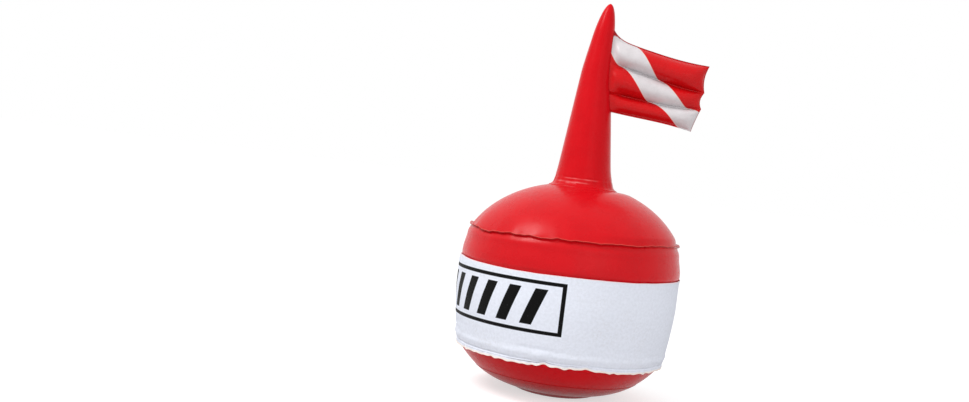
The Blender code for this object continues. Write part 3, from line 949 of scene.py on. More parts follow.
@dataclass(frozen=True)
class VinylFinish(Finish):
    """Milky moulded vinyl of the valve."""

    tones: Point = (0.92, 1.05)
    spread: float = 0.10
    grain: float = 2600.0
    swell: float = 300.0
    soil: Colour = (0.52, 0.49, 0.42)
    soiling: Point = (90.0, 0.5)
    settings: tuple[tuple[str, object], ...] = (
        ("Subsurface Weight", 0.25), ("Subsurface Radius", (0.004, 0.004, 0.004)),
        ("Coat Weight", 0.3),
    )


@dataclass(frozen=True)
class WebbingFinish(Finish):
    """Woven tape.

    Attributes:
        pitch: the weave's pitch.
    """

    tones: Point = (0.55, 1.9)
    spread: float = 0.0
    settings: tuple[tuple[str, object], ...] = (("Sheen Weight", 0.3),)
    pitch: float = 0.0009

    def paint(self, work: Painting) -> None:
        """Lay on the weave."""
        texture = work.group(work.effects.weave, Place=work.place, Pitch=self.pitch)
        self.apply(work, self.mottled(work, texture), texture)


@dataclass(frozen=True)
class MetalFinish(Finish):
    """Bare metal with scratches and dull patches."""

    tones: Point = (1.0, 1.0)
    spread: float = 0.14
    grain: float = 900.0
    swell: float = 160.0
    soil: Colour = (0.30, 0.28, 0.26)
    soiling: Point = (140.0, 0.7)
    settings: tuple[tuple[str, object], ...] = (("Metallic", 1.0),)


class Finishes:
    """Every finish of the float, made once."""

    dome: Material
    belt: Material
    mast: Material
    bowl: Material
    canvas: Material
    flag: Material
    vinyl: Material
    base: Material
    iron: Material
    tape: Material
    thread: Material
    steel: Material

    def __init__(self) -> None:
        """Build the shared groups and the materials."""
        film = FilmFinish(
            "red_vinyl_film", (0.57, 0.0035, 0.0080),
            roughness=0.28, specular=0.15, relief=0.0005,
        )
        made = {
            "dome": film,
            "belt": replace(film, name="belt_vinyl_film", specular=0.16),
            # The mast's paler edge colour paints the highlights on the pressed lines at its foot.
            "mast": replace(
                film, name="mast_vinyl_film", specular=0.09, edge=(0.88, 0.34, 0.34)
            ),
            "bowl": replace(film, name="bowl_vinyl_film", specular=0.06),
            "canvas": CanvasFinish(
                "coated_canvas", (0.79, 0.82, 0.91),
                roughness=0.75, specular=0.05, relief=0.0003,
            ),
            "flag": FlagFinish(
                "printed_flag_film", (0.57, 0.004, 0.006),
                roughness=0.28, specular=0.18, relief=0.0003,
            ),
            "vinyl": VinylFinish(
                "milky_vinyl", (0.78, 0.79, 0.80),
                roughness=0.34, specular=0.5, relief=0.0001,
            ),
            "base": FilmFinish(
                "base_vinyl_film", (0.44, 0.006, 0.006),
                roughness=0.48, specular=0.15, relief=0.0003,
                soil=(0.352, 0.0048, 0.0048),
            ),
            "iron": MetalFinish(
                "cast_iron", (0.20, 0.20, 0.21),
                roughness=0.60, specular=0.5, relief=0.0003,
            ),
            "tape": WebbingFinish(
                "woven_tape", (0.03, 0.03, 0.035),
                roughness=0.85, specular=0.2, relief=0.0003,
            ),
            "thread": WebbingFinish(
                "stitching_thread", (0.30, 0.30, 0.31),
                roughness=0.80, specular=0.2, relief=0.0001,
            ),
            "steel": MetalFinish(
                "stainless_wire", (0.62, 0.62, 0.63),
                roughness=0.24, specular=0.5, relief=0.00005,
            ),
        }
        effects = SurfaceEffects()
        for key, finish in made.items():
            setattr(self, key, finish.build(effects))


# Sub-assemblies


@dataclass
class SubAssembly:
    """A group of pieces that belong together.

    Attributes:
        finishes: the float's finishes.
    """

    finishes: Finishes

    def build(self) -> None:
        """Build the pieces."""
        raise NotImplementedError


# The ball


@dataclass
class Ball(SubAssembly):
    """Upper dome, red belt, white band and lower dome, with their welded seams.

    Attributes:
        radius: the band's outer radius.
        band_top: height of its upper edge.
        base_flat: height of the bowl's flat centre.
        widest: height of the widest level.
        dome_rise: the upper dome's rise above it.
        seam_rise: the upper seam's height above it.
        fin_length: how far the upper seam's fin stands out.
        fin_film: thickness of each of its two films.
        fin_angle: how steeply it rises.
        belt_clearance: gap between the belt and the band.
        belt_foot: height of the belt's lower edge, behind the band.
        taper_from: height below which the band draws in.
        taper: how far it draws in at the lower seam.
        taper_power: how late it does so.
        seam_low: height of the lower seam.
        seam_low_radius: radius of the bowl's rim there.
        fringe: how far the band's free hem hangs below the seam.
        base_radius: radius of the foot that the bowl stands on.
        mast_hole: radius of the hole below the mast.
        columns: facets round the ball.
        fin_steps: facets along the fin.
        rounding: how far the films' cut edges are rounded.
        hem_rounding: how far the band's are.
        tuck: the belt's dip behind the band's upper edge, with heights counted from there.
        belt_swells: the belt's fullness, counted from there and from the upper seam.
        roll: the band's roll above its lower seam.
        crease: the pressed line below that.
        gathered_roll: how far the roll follows the gathers.
        folds: the band's soft folds: height, drift round the ball, depth and width.
        pucker_height: how far the film's gathers stand out at a seam.
        pucker_reach: how far they run from it.
        seam_ripple: how far the upper seam follows them.
        upper_lifts: rises and dips of the upper seam.
        puckers: the gathers' pattern.
        nicks: short rises and dips, which the upper seam's fin alone follows.
        rim_lifts: those of the band's upper edge.
        hem_lifts: those of its hem.
        slow: the pattern of what comes and goes round the ball.
        fullness: how far the bowl stands out from a plain sphere.
        shoulder: how far the upper dome's right side does so.
        shoulder_side: sines of the azimuths where that starts and is full.
        shoulder_inner: radii where it starts and is full.
        shoulder_outer: radius where it starts to end, which it does at the seam.
        doubler: radius of the second film on the bowl's foot.
        doubler_film: how far that stands out.
        doubler_edge: over what length its edge does so.
        scallops: the hem's pattern.
        valve_height: height of the valve's axis.
        lap: azimuth in degrees, half width in degrees and thickness of the band's closing lap.
    """

    radius: float
    band_top: float
    base_flat: float = 0.00905
    widest: float = 0.173
    dome_rise: float = 0.114
    seam_rise: float = 0.0418
    fin_length: float = 0.0037
    fin_film: float = 0.0006
    fin_angle: float = math.radians(25)
    belt_clearance: float = 0.0007
    belt_foot: float = 0.161
    taper_from: float = 0.135
    taper: float = 0.0088
    taper_power: float = 1.4
    seam_low: float = 0.0576
    seam_low_radius: float = 0.1394
    fringe: float = 0.0033
    base_radius: float = 0.0391
    mast_hole: float = 0.0360
    columns: int = 432
    fin_steps: int = 5
    rounding: float = 0.00015
    hem_rounding: float = 0.0002
    tuck: Ridge = Ridge(0, 0.0011, 0.0028)
    belt_swells: tuple[Ridge, Ridge] = (
        Ridge(0.011, 0.0004, 0.008), Ridge(-0.0075, 0.0012, 0.0055),
    )
    roll: Ridge = Ridge(0.0690, 0.0010, 0.0042)
    crease: Ridge = Ridge(0.0608, -0.0013, 0.0013)
    gathered_roll: Ridge = Ridge(0.067, 0.0006, 0.006)
    folds: tuple[tuple[float, float, float, float], ...] = (
        (0.0765, 0.0022, 0.00055, 0.0026), (0.0850, 0.0050, 0.00040, 0.0034),
        (0.0980, 0.0080, 0.00022, 0.0050), (0.1280, 0.0090, 0.00018, 0.0070),
    )
    pucker_height: float = 0.00055
    pucker_reach: float = 0.009
    seam_ripple: float = 0.00015
    upper_lifts: Lifts = Lifts((
        (-90, 0.0010, 7), (-53, -0.0030, 9), (-40, -0.0010, 6), (-31, -0.0009, 5),
        (6, 0.0008, 7), (22, 0.0015, 9), (46, 0.0032, 13), (68, 0.0034, 14),
        (96, 0.0032, 13), (127, -0.0010, 6), (158, 0.0005, 6), (196, -0.0013, 5),
        (205, 0.0012, 4.5), (236, 0.0004, 7),
    ))
    puckers: Waves = Waves((
        (17, 0.4, 0.35), (23, 2.1, 0.45), (29, 4.4, 0.4), (41, 1.2, 0.22), (58, 3.3, 0.12),
    ))
    nicks: Lifts = Lifts((
        (-62, 0.0005, 2), (-34, 0.0008, 2), (-17, -0.0010, 3), (-11, -0.0006, 2),
        (-8.6, 0.0010, 2.2), (14, -0.0006, 2), (29, 0.0005, 2), (41, -0.0006, 2),
        (53, 0.0006, 2), (103, -0.0009, 3), (140, 0.0012, 2), (179, -0.0008, 3), (222, 0.0009, 2),
    ))
    rim_lifts: Lifts = Lifts((
        (-78, 0.0022, 13), (-24, -0.0014, 24), (60, 0.0018, 20), (86, 0.0022, 16),
        (150, -0.0008, 20), (205, 0.0007, 16),
    ))
    hem_lifts: Lifts = Lifts((
        (6, 0.0020, 20), (-6.5, 0.0026, 2.4), (3.5, -0.0008, 2.2), (15, 0.0026, 2.2),
        (22, 0.0008, 2.4), (-36, 0.0006, 5), (66, 0.0008, 6), (110, -0.0007, 8),
        (170, 0.0012, 9), (230, 0.0010, 12),
    ))
    slow: Waves = Waves(((2, 0.7, 0.4), (3, 2.9, 0.35), (5, 5.1, 0.25)))
    fullness: float = 0.0031
    shoulder: float = 0.0031
    shoulder_side: Point = (-0.15, 0.6)
    shoulder_inner: Point = (0.043, 0.066)
    shoulder_outer: float = 0.132
    doubler: float = 0.1095
    doubler_film: float = 0.0005
    doubler_edge: float = 0.0003
    scallops: Waves = Waves((
        (37, 0.2, 0.30), (46, 1.9, 0.35), (59, 4.0, 0.40), (74, 2.7, 0.30), (91, 0.9, 0.22),
    ))
    valve_height: float = 0.146
    lap: tuple[float, float, float] = (150, 2.4, 0.0005)

    def __post_init__(self) -> None:
        """Work out the sizes that follow from the others."""
        self.belt_radius = self.radius - FILM - self.belt_clearance
        self.seam_height = self.widest + self.seam_rise
        self.seam_radius = self.radius * math.sqrt(1 - (self.seam_rise / self.dome_rise) ** 2)
        squared = self.seam_low**2 + self.seam_low_radius**2
        self.bowl_centre = (squared - self.base_radius**2) / (2 * self.seam_low)
        self.bowl_radius = math.hypot(self.bowl_centre, self.base_radius)
        self.flat_radius = self.bowl_edge(self.base_flat)
        self.fringe_foot = self.seam_low - self.fringe
        self.fin_cos, self.fin_sin = math.cos(self.fin_angle), math.sin(self.fin_angle)

    def dome_height(self, radius: float) -> float:
        """The upper dome's height at a radius."""
        return self.widest + self.dome_rise * math.sqrt(1 - (radius / self.radius) ** 2)

    def bowl_height(self, radius: float, inset: float = 0.0) -> float:
        """The lower dome's height at a radius."""
        return self.bowl_centre - math.sqrt((self.bowl_radius - inset) ** 2 - radius**2)

    def bowl_edge(self, height: float) -> float:
        """The lower dome's radius at a height."""
        return math.sqrt(self.bowl_radius**2 - (self.bowl_centre - height) ** 2)

    def belt_at(self, height: float) -> float:
        """The belt's radius at a height.

        Args:
            height: the height.

        Returns:
            The radius, drawn in where the band laps over the belt.
        """
        above = height - self.band_top
        if above < 0:
            return self.belt_radius - self.tuck.size
        rise = self.seam_rise / math.sqrt(1 - (self.seam_radius / self.belt_radius) ** 2)
        share = max(height - self.widest, 0) / rise
        low, high = self.belt_swells
        swell = low.at(above) + high.at(height - self.seam_height)
        return self.belt_radius * math.sqrt(1 - share**2) - self.tuck.at(above) + swell

    def band_at(self, height: float) -> float:
        """The band's outer radius at a height.

        Args:
            height: the height.

        Returns:
            The radius, with the roll and the crease above the lower seam.
        """
        share = max(self.taper_from - height, 0) / (self.taper_from - self.seam_low)
        radius = self.radius - self.taper * share**self.taper_power
        return radius + self.roll.at(height) + self.crease.at(height)

    def fin_point(self, along: float, across: float) -> Point:
        """A point of the upper fin.

        Args:
            along: how far it is from the seam, along the fin.
            across: how far it is above the fin's middle.

        Returns:
            Its radius and height.
        """
        beyond = self.fin_cos * along - self.fin_sin * across
        above = self.fin_sin * along + self.fin_cos * across
        return (self.seam_radius + beyond, self.seam_height + above)

    def fin_outline(self, side: int) -> list[Point]:
        """The outline of one of the fin's films.

        Args:
            side: 1 for the upper film, -1 for the lower one.

        Returns:
            Its points, out on its far side and back along the other film.
        """
        near, far = side * GAP / 2, side * (GAP / 2 + self.fin_film)
        steps = spaced(0, self.fin_length, self.fin_steps)
        out = [self.fin_point(along, far) for along in steps]
        return out + [self.fin_point(along, near) for along in (*steps[::-1], -FILM)]

    def wander(self, azimuth: Values) -> Values:
        """How far the upper seam rises and dips on its way round."""
        return self.upper_lifts.at(azimuth) + self.seam_ripple * self.puckers.at(azimuth)

    def pucker(self, azimuth: Values, away: Values, phase: float) -> Values:
        """Gathers that run away from a seam.

        Args:
            azimuth: the points' azimuths.
            away: their distances from the seam.
            phase: turns the pattern, so that two seams differ.

        Returns:
            How far the film stands out at each point.
        """
        steady, varying, held, hold_reach = 0.65, 0.6, 0.55, 0.0015
        strength = steady + varying * self.slow.at(azimuth + phase)
        strength = strength * fade(away, self.pucker_reach) * (1 - held * fade(away, hold_reach))
        return self.pucker_height * strength * self.puckers.at(azimuth + phase)

    def upper_seam_rule(self, azimuth: Values, radius: Values, height: Values) -> Places:
        """Shape the film on both sides of the upper seam, and its fin.

        Args:
            azimuth: the points' azimuths.
            radius: their radii.
            height: their heights.

        Returns:
            The new radii and heights.
        """
        reach, nick_reach, growth, nick_growth = 0.016, 0.002, 0.25, 0.3
        flutter_height, flutter_width, phase = 0.0004, 0.0003, 1.3
        share_below, share_above = 0.042, 0.56
        beyond, above = radius - self.seam_radius, height - self.seam_height
        away = np.hypot(beyond, above)
        across = above * self.fin_cos - beyond * self.fin_sin
        fin = (beyond > 0) & (across > -self.fin_film - GAP)
        out = unit((beyond * self.fin_cos + above * self.fin_sin) / self.fin_length) * fin
        lift = self.wander(azimuth) * np.where(fin, 1 + growth * out, fade(away, reach))
        nick_share = np.where(fin, 1 + nick_growth * out, fade(away, nick_reach))
        lift += self.nicks.at(azimuth) * nick_share
        lift += flutter_height * self.scallops.at(azimuth + phase) * out
        gather = np.where(fin, 0, self.pucker(azimuth, away, 0.0))
        gather *= np.where(above < 0, share_below, share_above)
        flutter = flutter_width * self.scallops.at(azimuth) * out
        return radius + gather + flutter, height + gather + lift

    def dome_rule(self, azimuth: Values, radius: Values, height: Values) -> Places:
        """Shape the upper dome: its seam, and the fuller side below the flag.

        Args:
            azimuth: the points' azimuths.
            radius: their radii.
            height: their heights.

        Returns:
            The new radii and heights.
        """
        steepest = 0.95
        out = self.shoulder * smooth(np.sin(azimuth), *self.shoulder_side)
        out *= smooth(radius, *self.shoulder_inner)
        out *= 1 - smooth(radius, self.shoulder_outer, self.seam_radius)
        steep = np.clip(radius / self.radius, 0, steepest)
        radius, height = self.upper_seam_rule(azimuth, radius, height)
        return radius + out * steep, height + out * np.sqrt(1 - steep**2)

    def fin_share(self, radius: Values, start: float) -> Values:
        """How far out on the fin points lie, from 0 at a distance from the seam to 1."""
        reach = self.fin_cos * self.fin_length
        return unit((radius - self.seam_radius - start) / (reach - start))

    def make_upper_dome(self) -> None:
        """Build the upper dome with the fin's upper film."""
        rows, gathered, inner_step, edge_share, edge_start = 84, 1.9, 3, 0.9, 0.0026
        radii = spaced(self.seam_radius - self.fin_film, self.mast_hole, rows, gathered)[::-1]
        outer = [(radius, self.dome_height(radius)) for radius in radii]
        inner = [(radius - FILM / 4, height - FILM) for radius, height in outer[::inner_step]]
        outline = outer + self.fin_outline(1) + inner[:-1][::-1]
        mesh = as_mesh(turned(outline, self.columns), self.rounding)
        _, radius, _ = bend(mesh, self.dome_rule)
        # The fin's outer part is painted paler: the film's translucent cut edge, with a painted
        # highlight along it.
        mark(mesh, "weld", edge_share * self.fin_share(radius, edge_start))
        finish = self.finishes.dome
        publish(mesh, "upper_dome_skin", finish, "upper_dome")

    def make_belt(self) -> None:
        """Build the red belt with the fin's lower film."""
        tucked, below_edge, gathered, painted_shade_share = 0.008, 0.0002, 1.5, 0.6
        top, edge = self.seam_height - self.fin_film, self.band_top + tucked
        foot_rows, lap_rows, rows = 4, 14, 34
        heights = spaced(self.belt_foot, self.band_top - below_edge, foot_rows)
        heights += spaced(self.band_top, edge, lap_rows)
        heights += spaced(top, edge, rows, gathered)[::-1][1:]
        outer = [(self.belt_at(height), height) for height in heights[:-1]]
        inner = [(radius - FILM, height) for radius, height in outer[::2]]
        outline = outer + self.fin_outline(-1) + inner[::-1]
        mesh = as_mesh(turned(outline, self.columns), self.rounding)
        _, radius, height = bend(mesh, self.belt_rule)
        # Painted shade on the underside of the fin's lower film, above the seam.
        painted_shade = self.fin_share(radius, 0.0) ** 0.5 * (height > self.seam_height)
        mark(mesh, "weld", -painted_shade_share * painted_shade)
        publish(mesh, "red_belt_skin", self.finishes.belt, "red_belt")

    def belt_rule(self, azimuth: Values, radius: Values, height: Values) -> Places:
        """Shape the belt: the upper seam's gathers, and smaller ones above the band.

        Args:
            azimuth: the points' azimuths.
            radius: their radii.
            height: their heights.

        Returns:
            The new radii and heights.
        """
        size, reach, phase = 0.00004, 0.004, 2.0
        away = np.abs(height - self.band_top)
        radius, height = self.upper_seam_rule(azimuth, radius, height)
        return radius + size * self.puckers.at(azimuth + phase) * fade(away, reach), height

    def band_rule(self, azimuth: Values, radius: Values, height: Values) -> Places:
        """Shape the band: folds, the roll, the crease and the scalloped hem.

        Args:
            azimuth: the points' azimuths.
            radius: their radii.
            height: their heights.

        Returns:
            The new radii and heights.
        """
        roll_phase, fold_strength, level_turn, level_phase = 0.9, 1.7, 90, 240
        hem_start, longest, flare, scallop_flare = 0.0012, 1.3, 0.0004, 0.0007
        scallop_length, scallop_phase, sway = 0.0006, 0.35, 0.00015
        ripple, ripple_reach, rim_reach, hem_reach, lap_start = 0.00012, 0.003, 0.014, 0.006, 0.004
        # The roll and the folds.
        out = self.gathered_roll.at(height) * self.puckers.at(azimuth + roll_phase)
        for level, drift, depth, width in self.folds:
            centre = level + drift * self.slow.at(azimuth + level * level_turn)
            strength = unit(fold_strength * self.slow.at(2 * azimuth + level * level_phase))
            out -= strength * Ridge(centre, depth, width).at(height)
        # The hem, the upper edge, the valve's flange below the canvas and the lap.
        away, top_away = height - self.seam_low, np.abs(height - self.band_top)
        hem = np.clip((hem_start - away) / self.fringe, 0, longest)
        out += (flare + scallop_flare * self.scallops.at(azimuth)) * hem
        rim = ripple * self.puckers.at(azimuth) * fade(top_away, ripple_reach)
        out += rim + self.over_flange(azimuth, height) + sway * self.slow.at(azimuth)
        middle, width, film = self.lap
        lapped = (np.abs(np.degrees(azimuth) - middle) < width) & (away > lap_start)
        # The heights of both edges.
        rise = self.rim_lifts.at(azimuth) * fade(top_away, rim_reach) + rim
        rise += self.hem_lifts.at(azimuth) * fade(np.maximum(away, 0), hem_reach)
        rise += scallop_length * self.scallops.at(azimuth + scallop_phase) * hem
        return radius + out + film * lapped, height + rise

    def over_flange(self, azimuth: Values, height: Values) -> Values:
        """How the valve's welded flange shows through the band.

        Args:
            azimuth: the points' azimuths.
            height: their heights.

        Returns:
            How far each point stands out.
        """
        film, reach, slope = 0.0004, 0.0142, 0.0016
        side = turn_from(azimuth, math.pi) * self.radius
        return film * unit((reach - np.hypot(side, height - self.valve_height)) / slope)

    def valve_matrix(self) -> Matrix:
        """The valve's frame: Z points out of the band and Y points down."""
        origin = Matrix.Translation((0, self.radius, self.valve_height))
        return origin @ Matrix.Rotation(-math.pi / 2, 4, "X")

    def make_band(self) -> None:
        """Build the white band with its free hem, and cut the valve's hole."""
        rim, middle, last, hem_start = 0.003, 0.094, 0.0590, 0.0006
        edge_rows, upper_rows, lower_rows, hem_rows = 4, 36, 44, 7
        edge = self.band_top - rim
        heights = spaced(self.band_top, edge, edge_rows)
        heights += spaced(edge, middle, upper_rows)[1:] + spaced(middle, last, lower_rows)[1:]
        outer = [(self.band_at(height), height) for height in heights]
        radius = self.seam_low_radius + GAP + FILM
        drops = spaced(self.seam_low + hem_start, self.fringe_foot, hem_rows)
        hem = [(radius, height) for height in drops]
        inside = outer[::4] + [outer[-1]] + hem
        outline = outer + hem + [(radius - FILM, height) for radius, height in inside[::-1]]
        mesh = as_mesh(turned(outline, self.columns), self.hem_rounding)
        azimuth, _, height = bend(mesh, self.band_rule)
        self.mark_band(mesh, azimuth, height)
        bore, out, deep, steps = 0.006, 0.003, -0.004, 48
        drill = turned([(0, out), (bore, out), (bore, deep), (0, deep)], steps, False)
        bmesh.ops.transform(drill, matrix=self.valve_matrix(), verts=drill.verts[:])
        mesh = cut_or_join(mesh, [as_mesh(drill)], "DIFFERENCE")
        publish(mesh, "white_band_skin", self.finishes.canvas, "white_band")

    def mark_band(self, mesh: Mesh, azimuth: Values, height: Values) -> None:
        """Mark the band's upper edge, its cut hem and the painted shadow in the crease above that.

        Args:
            mesh: the band.
            azimuth: its points' azimuths.
            height: their heights before it was shaped.
        """
        edge, blend, edge_share, crease = 0.0014, 0.0008, 0.8, Ridge(0.0010, 0.8, 0.0007)
        front_centre, front_width, front_power, back_from, back_share = -0.12, 0.30, 4, 1.9, 0.6
        contrast, turns, phase, mean = 2.0, 4, 0.6, 0.8
        mark(mesh, "weld", unit((height - self.band_top + edge) / blend) * edge_share)
        front = np.exp(-(((azimuth - front_centre) / front_width) ** front_power))
        front = front + back_share * (np.abs(azimuth) > back_from)
        broken = unit(contrast * self.slow.at(turns * azimuth + phase) + mean) * front
        # Painted shadow in the crease just above the lower seam, broken, and strongest at the
        # front.
        crease_shade = crease.at(height - self.seam_low) * broken
        mark(mesh, "hem", unit((self.seam_low - blend - height) / blend) - crease_shade)

    def bowl_rule(self, azimuth: Values, radius: Values, height: Values) -> Places:
        """Shape the bowl: its fullness, the second film and gathers below the lower seam.

        Args:
            azimuth: the points' azimuths.
            radius: their radii.
            height: their heights.

        Returns:
            The new radii and heights.
        """
        phase, clear, uneven, gather_out, gather_down = 1.7, 0.0001, 0.08, 0.5, 0.9
        away = np.hypot(radius - self.seam_low_radius, height - self.seam_low)
        rim = radius > self.seam_low_radius - self.fin_film - clear
        gather = np.where(rim, 0, self.pucker(azimuth, away, phase))
        share = unit((radius - self.flat_radius) / (self.seam_low_radius - self.flat_radius))
        out = self.fullness * np.sin(math.pi * share) * (1 - uneven * np.sin(azimuth))
        second = unit((self.doubler + self.doubler_edge - radius) / self.doubler_edge)
        out += self.doubler_film * second * (share > 0)
        slope = radius / self.bowl_radius
        fall = gather * gather_down + out * np.sqrt(1 - slope**2)
        return radius + gather * gather_out + out * slope, height - fall

    def make_bowl(self) -> None:
        """Build the lower dome."""
        rows, gathered, line, line_width = 60, 1.5, 0.0002, 0.0005
        edge_steps = (-0.0002, 0.0, 0.00015, 0.0003, 0.0005)
        film_share, line_share = 0.30, 0.35
        lip_outer, lip_inner = self.seam_low_radius, self.seam_low_radius - self.fin_film
        radii = spaced(lip_inner, self.flat_radius, rows, gathered)
        radii = sorted(radii + [self.doubler + step for step in edge_steps], reverse=True)
        outer = [(radius, self.bowl_height(radius)) for radius in radii]
        inner = [(radius, self.bowl_height(radius, FILM)) for radius in radii[3:-1:3]]
        lip_top, lip_foot = self.seam_low + FILM, self.fringe_foot + GAP
        outline = [(0, self.base_flat + FILM), (self.flat_radius - FILM, self.base_flat + FILM)]
        outline += inner[::-1] + [(lip_inner - FILM, lip_top), (lip_outer, lip_top)]
        outline += [(lip_outer, lip_foot), (lip_inner, lip_foot)] + outer + [(0, self.base_flat)]
        mesh = as_mesh(turned(outline, self.columns, False))
        _, radius, _ = bend(mesh, self.bowl_rule)
        # Inside the second film, and most in a thin line at its edge, the bowl is mixed towards the
        # dark shade colour: partly the film's own darker tone, partly painted shade on the bowl's
        # underside.
        inside = self.doubler + line - radius
        shaded = film_share * (inside > 0) + Ridge(0, line_share, line_width).at(inside)
        mark(mesh, "weld", -shaded)
        publish(mesh, "lower_dome_skin", self.finishes.bowl, "lower_dome")

    def build(self) -> None:
        """Build the ball's four skins."""
        self.make_upper_dome()
        self.make_belt()
        self.make_band()
        self.make_bowl()


# Mast and flag

# Radii that tell the mast's foot from its film and from its flange, and the sines of the
# azimuths between which its side below the flag grows fuller.
FOOT_RADII = (0.03, 0.045, 0.05)
FLAG_SIDE = (0.3, 0.9)


@dataclass
class Mast(SubAssembly):
    """Tapered hollow tube on a flange that lies on the upper dome.

    Attributes:
        ball: the ball that it stands on.
        tip: height of its tip.
        shoulder: where the taper ends and the tip's rounding starts, above the crown.
        shoulder_radius: its radius there.
        tip_length: the length of the rounding.
        low: where the foot's flare starts, above the crown.
        low_radius: its radius there.
        flare: how much the flare adds.
        foot: where the fillet starts, above the crown.
        fillet_reach: how far out the fillet runs.
        flange_width: how far the flange goes beyond it.
        flange_film: the flange's thickness.
        lean: how far the tip stands towards the flag.
        lean_length: over what length it does so.
        tip_power: how late the tip draws in, and how late it leans.
        columns: facets round it.
        weld: the ridge of its two side welds, counted from each.
        groove: the pressed line above its foot.
        fuller: how it stands out below the flag, from the crown up.
        wrinkles: the pattern of the wrinkles above its foot.
        gleams: where painted highlights lie along the pressed lines at its foot.
        lines: those two lines, by their height above the crown.
    """

    ball: Ball
    tip: float
    shoulder: float = 0.198
    shoulder_radius: float = 0.0147
    tip_length: float = 0.049
    low: float = 0.031
    low_radius: float = 0.0344
    flare: float = 0.0008
    foot: float = 0.0055
    fillet_reach: float = 0.0068
    flange_width: float = 0.0015
    flange_film: float = 0.0007
    lean: float = 0.0076
    lean_length: float = 0.094
    tip_power: float = 1.2
    columns: int = 288
    weld: Ridge = Ridge(0, 0.0003, 0.0011)
    groove: Ridge = Ridge(0.0075, 0.0005, 0.0012)
    fuller: Ridge = Ridge(0, 0.0020, 0.014)
    wrinkles: Waves = Waves(((9, 0.5, 0.5), (14, 2.6, 0.45), (21, 4.9, 0.3), (32, 1.1, 0.15)))
    gleams: Lifts = Lifts((
        (-50, 0.7, 10), (-30, 0.5, 7), (-11, 0.9, 9), (5, 0.4, 6), (120, 0.6, 12), (200, 0.6, 14),
    ))
    lines: tuple[Ridge, Ridge] = (Ridge(0.0016, 1, 0.0005), Ridge(0.0062, 0.5, 0.0005))

    def __post_init__(self) -> None:
        """Work out the sizes that follow from the others."""
        self.crown = self.ball.widest + self.ball.dome_rise
        self.foot_radius = float(self.radius_at(self.crown + self.foot))

    def radius_at(self, height: Values) -> Values:
        """The mast's outer radius.

        Args:
            height: the heights.

        Returns:
            The radius at each.
        """
        above = np.asarray(height) - self.crown
        tip_share = unit((above - self.shoulder) / self.tip_length)
        tip = self.shoulder_radius * np.sqrt(1 - tip_share**self.tip_power)
        share = (above - self.low) / (self.shoulder - self.low)
        body = self.low_radius + (self.shoulder_radius - self.low_radius) * share
        flare = np.maximum((self.low - above) / (self.low - self.foot), 0)
        return np.where(above >= self.shoulder, tip, body + self.flare * flare**2)

    def lean_at(self, height: Values) -> Values:
        """How far the centre line stands towards the flag."""
        share = np.maximum(1 - (self.tip - np.asarray(height)) / self.lean_length, 0)
        return self.lean * share**self.tip_power

    def flange_point(self, radius: float, film: float = 0.0) -> Point:
        """A point of the flange, just clear of the dome, or up to a film above that."""
        return (radius, self.ball.dome_height(radius) + GAP + film)

    def fillet(self) -> list[Point]:
        """Points of the curve from the mast's foot onto its flange."""
        start, steps = Vector((self.foot_radius, self.crown + self.foot)), 14
        corner, end = (
            Vector(self.flange_point(self.foot_radius + reach, self.flange_film))
            for reach in (FILM, self.fillet_reach)
        )
        return [
            tuple(start * (1 - share) ** 2 + corner * 2 * share * (1 - share) + end * share**2)
            for share in spaced(0, 1, steps)[1:]
        ]

    def rule(self, azimuth: Values, radius: Values, height: Values) -> Places:
        """Shape the mast: its two side welds and the wrinkles above its foot.

        Args:
            azimuth: the points' azimuths.
            radius: their radii.
            height: their heights.

        Returns:
            The new radii and heights.
        """
        weld_start, weld_end, foot, foot_reach, flange_height = 0.02, 0.01, 0.003, 0.006, 0.004
        size, phase, steady, varying, drop = 0.0006, 1.0, 0.7, 0.6, 0.3
        above = height - self.crown
        side = np.abs(np.abs(azimuth) - math.pi / 2) * radius
        out = self.weld.at(side) * unit(above / weld_start) * unit((self.tip - height) / weld_end)
        wrinkle = size * self.wrinkles.at(azimuth) * fade(np.abs(above - foot), foot_reach)
        wrinkle *= radius > FOOT_RADII[0]
        groove = self.groove.at(above) * (radius < FOOT_RADII[1])
        out += wrinkle - groove * (steady + varying * self.wrinkles.at(azimuth + phase))
        flag_side = smooth(np.sin(azimuth), *FLAG_SIDE) * (radius < FOOT_RADII[2])
        out += flag_side * self.fuller.at(above)
        return radius + out, height + drop * wrinkle * (above < flange_height)

    def build(self) -> None:
        """Build the mast."""
        gathered, chamfer, under, turn = 2.0, 0.0012, (0.0001, 0.0004), -0.35
        shoulder, low, foot = (self.crown + rise for rise in (self.shoulder, self.low, self.foot))
        tip_rows, rows, foot_rows = 34, 56, 34
        heights = spaced(self.tip, shoulder, tip_rows, gathered)[1:]
        heights += spaced(shoulder, low, rows)[1:] + spaced(low, foot, foot_rows)[1:]
        outer = [(float(self.radius_at(height)), height) for height in heights]
        inner = [(max(radius - FILM, GAP), height - FILM / 2) for radius, height in outer[::3]]
        bore = self.foot_radius - FILM
        rim = self.foot_radius + self.fillet_reach + self.flange_width
        outline = [(0, self.tip)] + outer + self.fillet() + [self.flange_point(rim - chamfer)]
        outline += [self.flange_point(rim, -GAP - step) for step in under]
        outline += [self.flange_point((rim + bore) / 2, -GAP), self.flange_point(bore)]
        outline += inner[::-1] + [(0, self.tip - FILM)]
        mesh = as_mesh(turned(outline, self.columns, False))
        azimuth, radius, height = bend(mesh, self.rule)
        push(mesh, self.lean_at)
        # Painted highlights along the two pressed lines above the foot, in the finish's paler edge
        # colour.
        lit = sum(
            line.at(height - self.crown) * self.gleams.at(azimuth + shift)
            for line, shift in zip(self.lines, (0, turn))
        )
        mark(mesh, "weld", unit(lit) * (radius > FOOT_RADII[0]))
        publish(mesh, "mast_skin", self.finishes.mast, "mast")


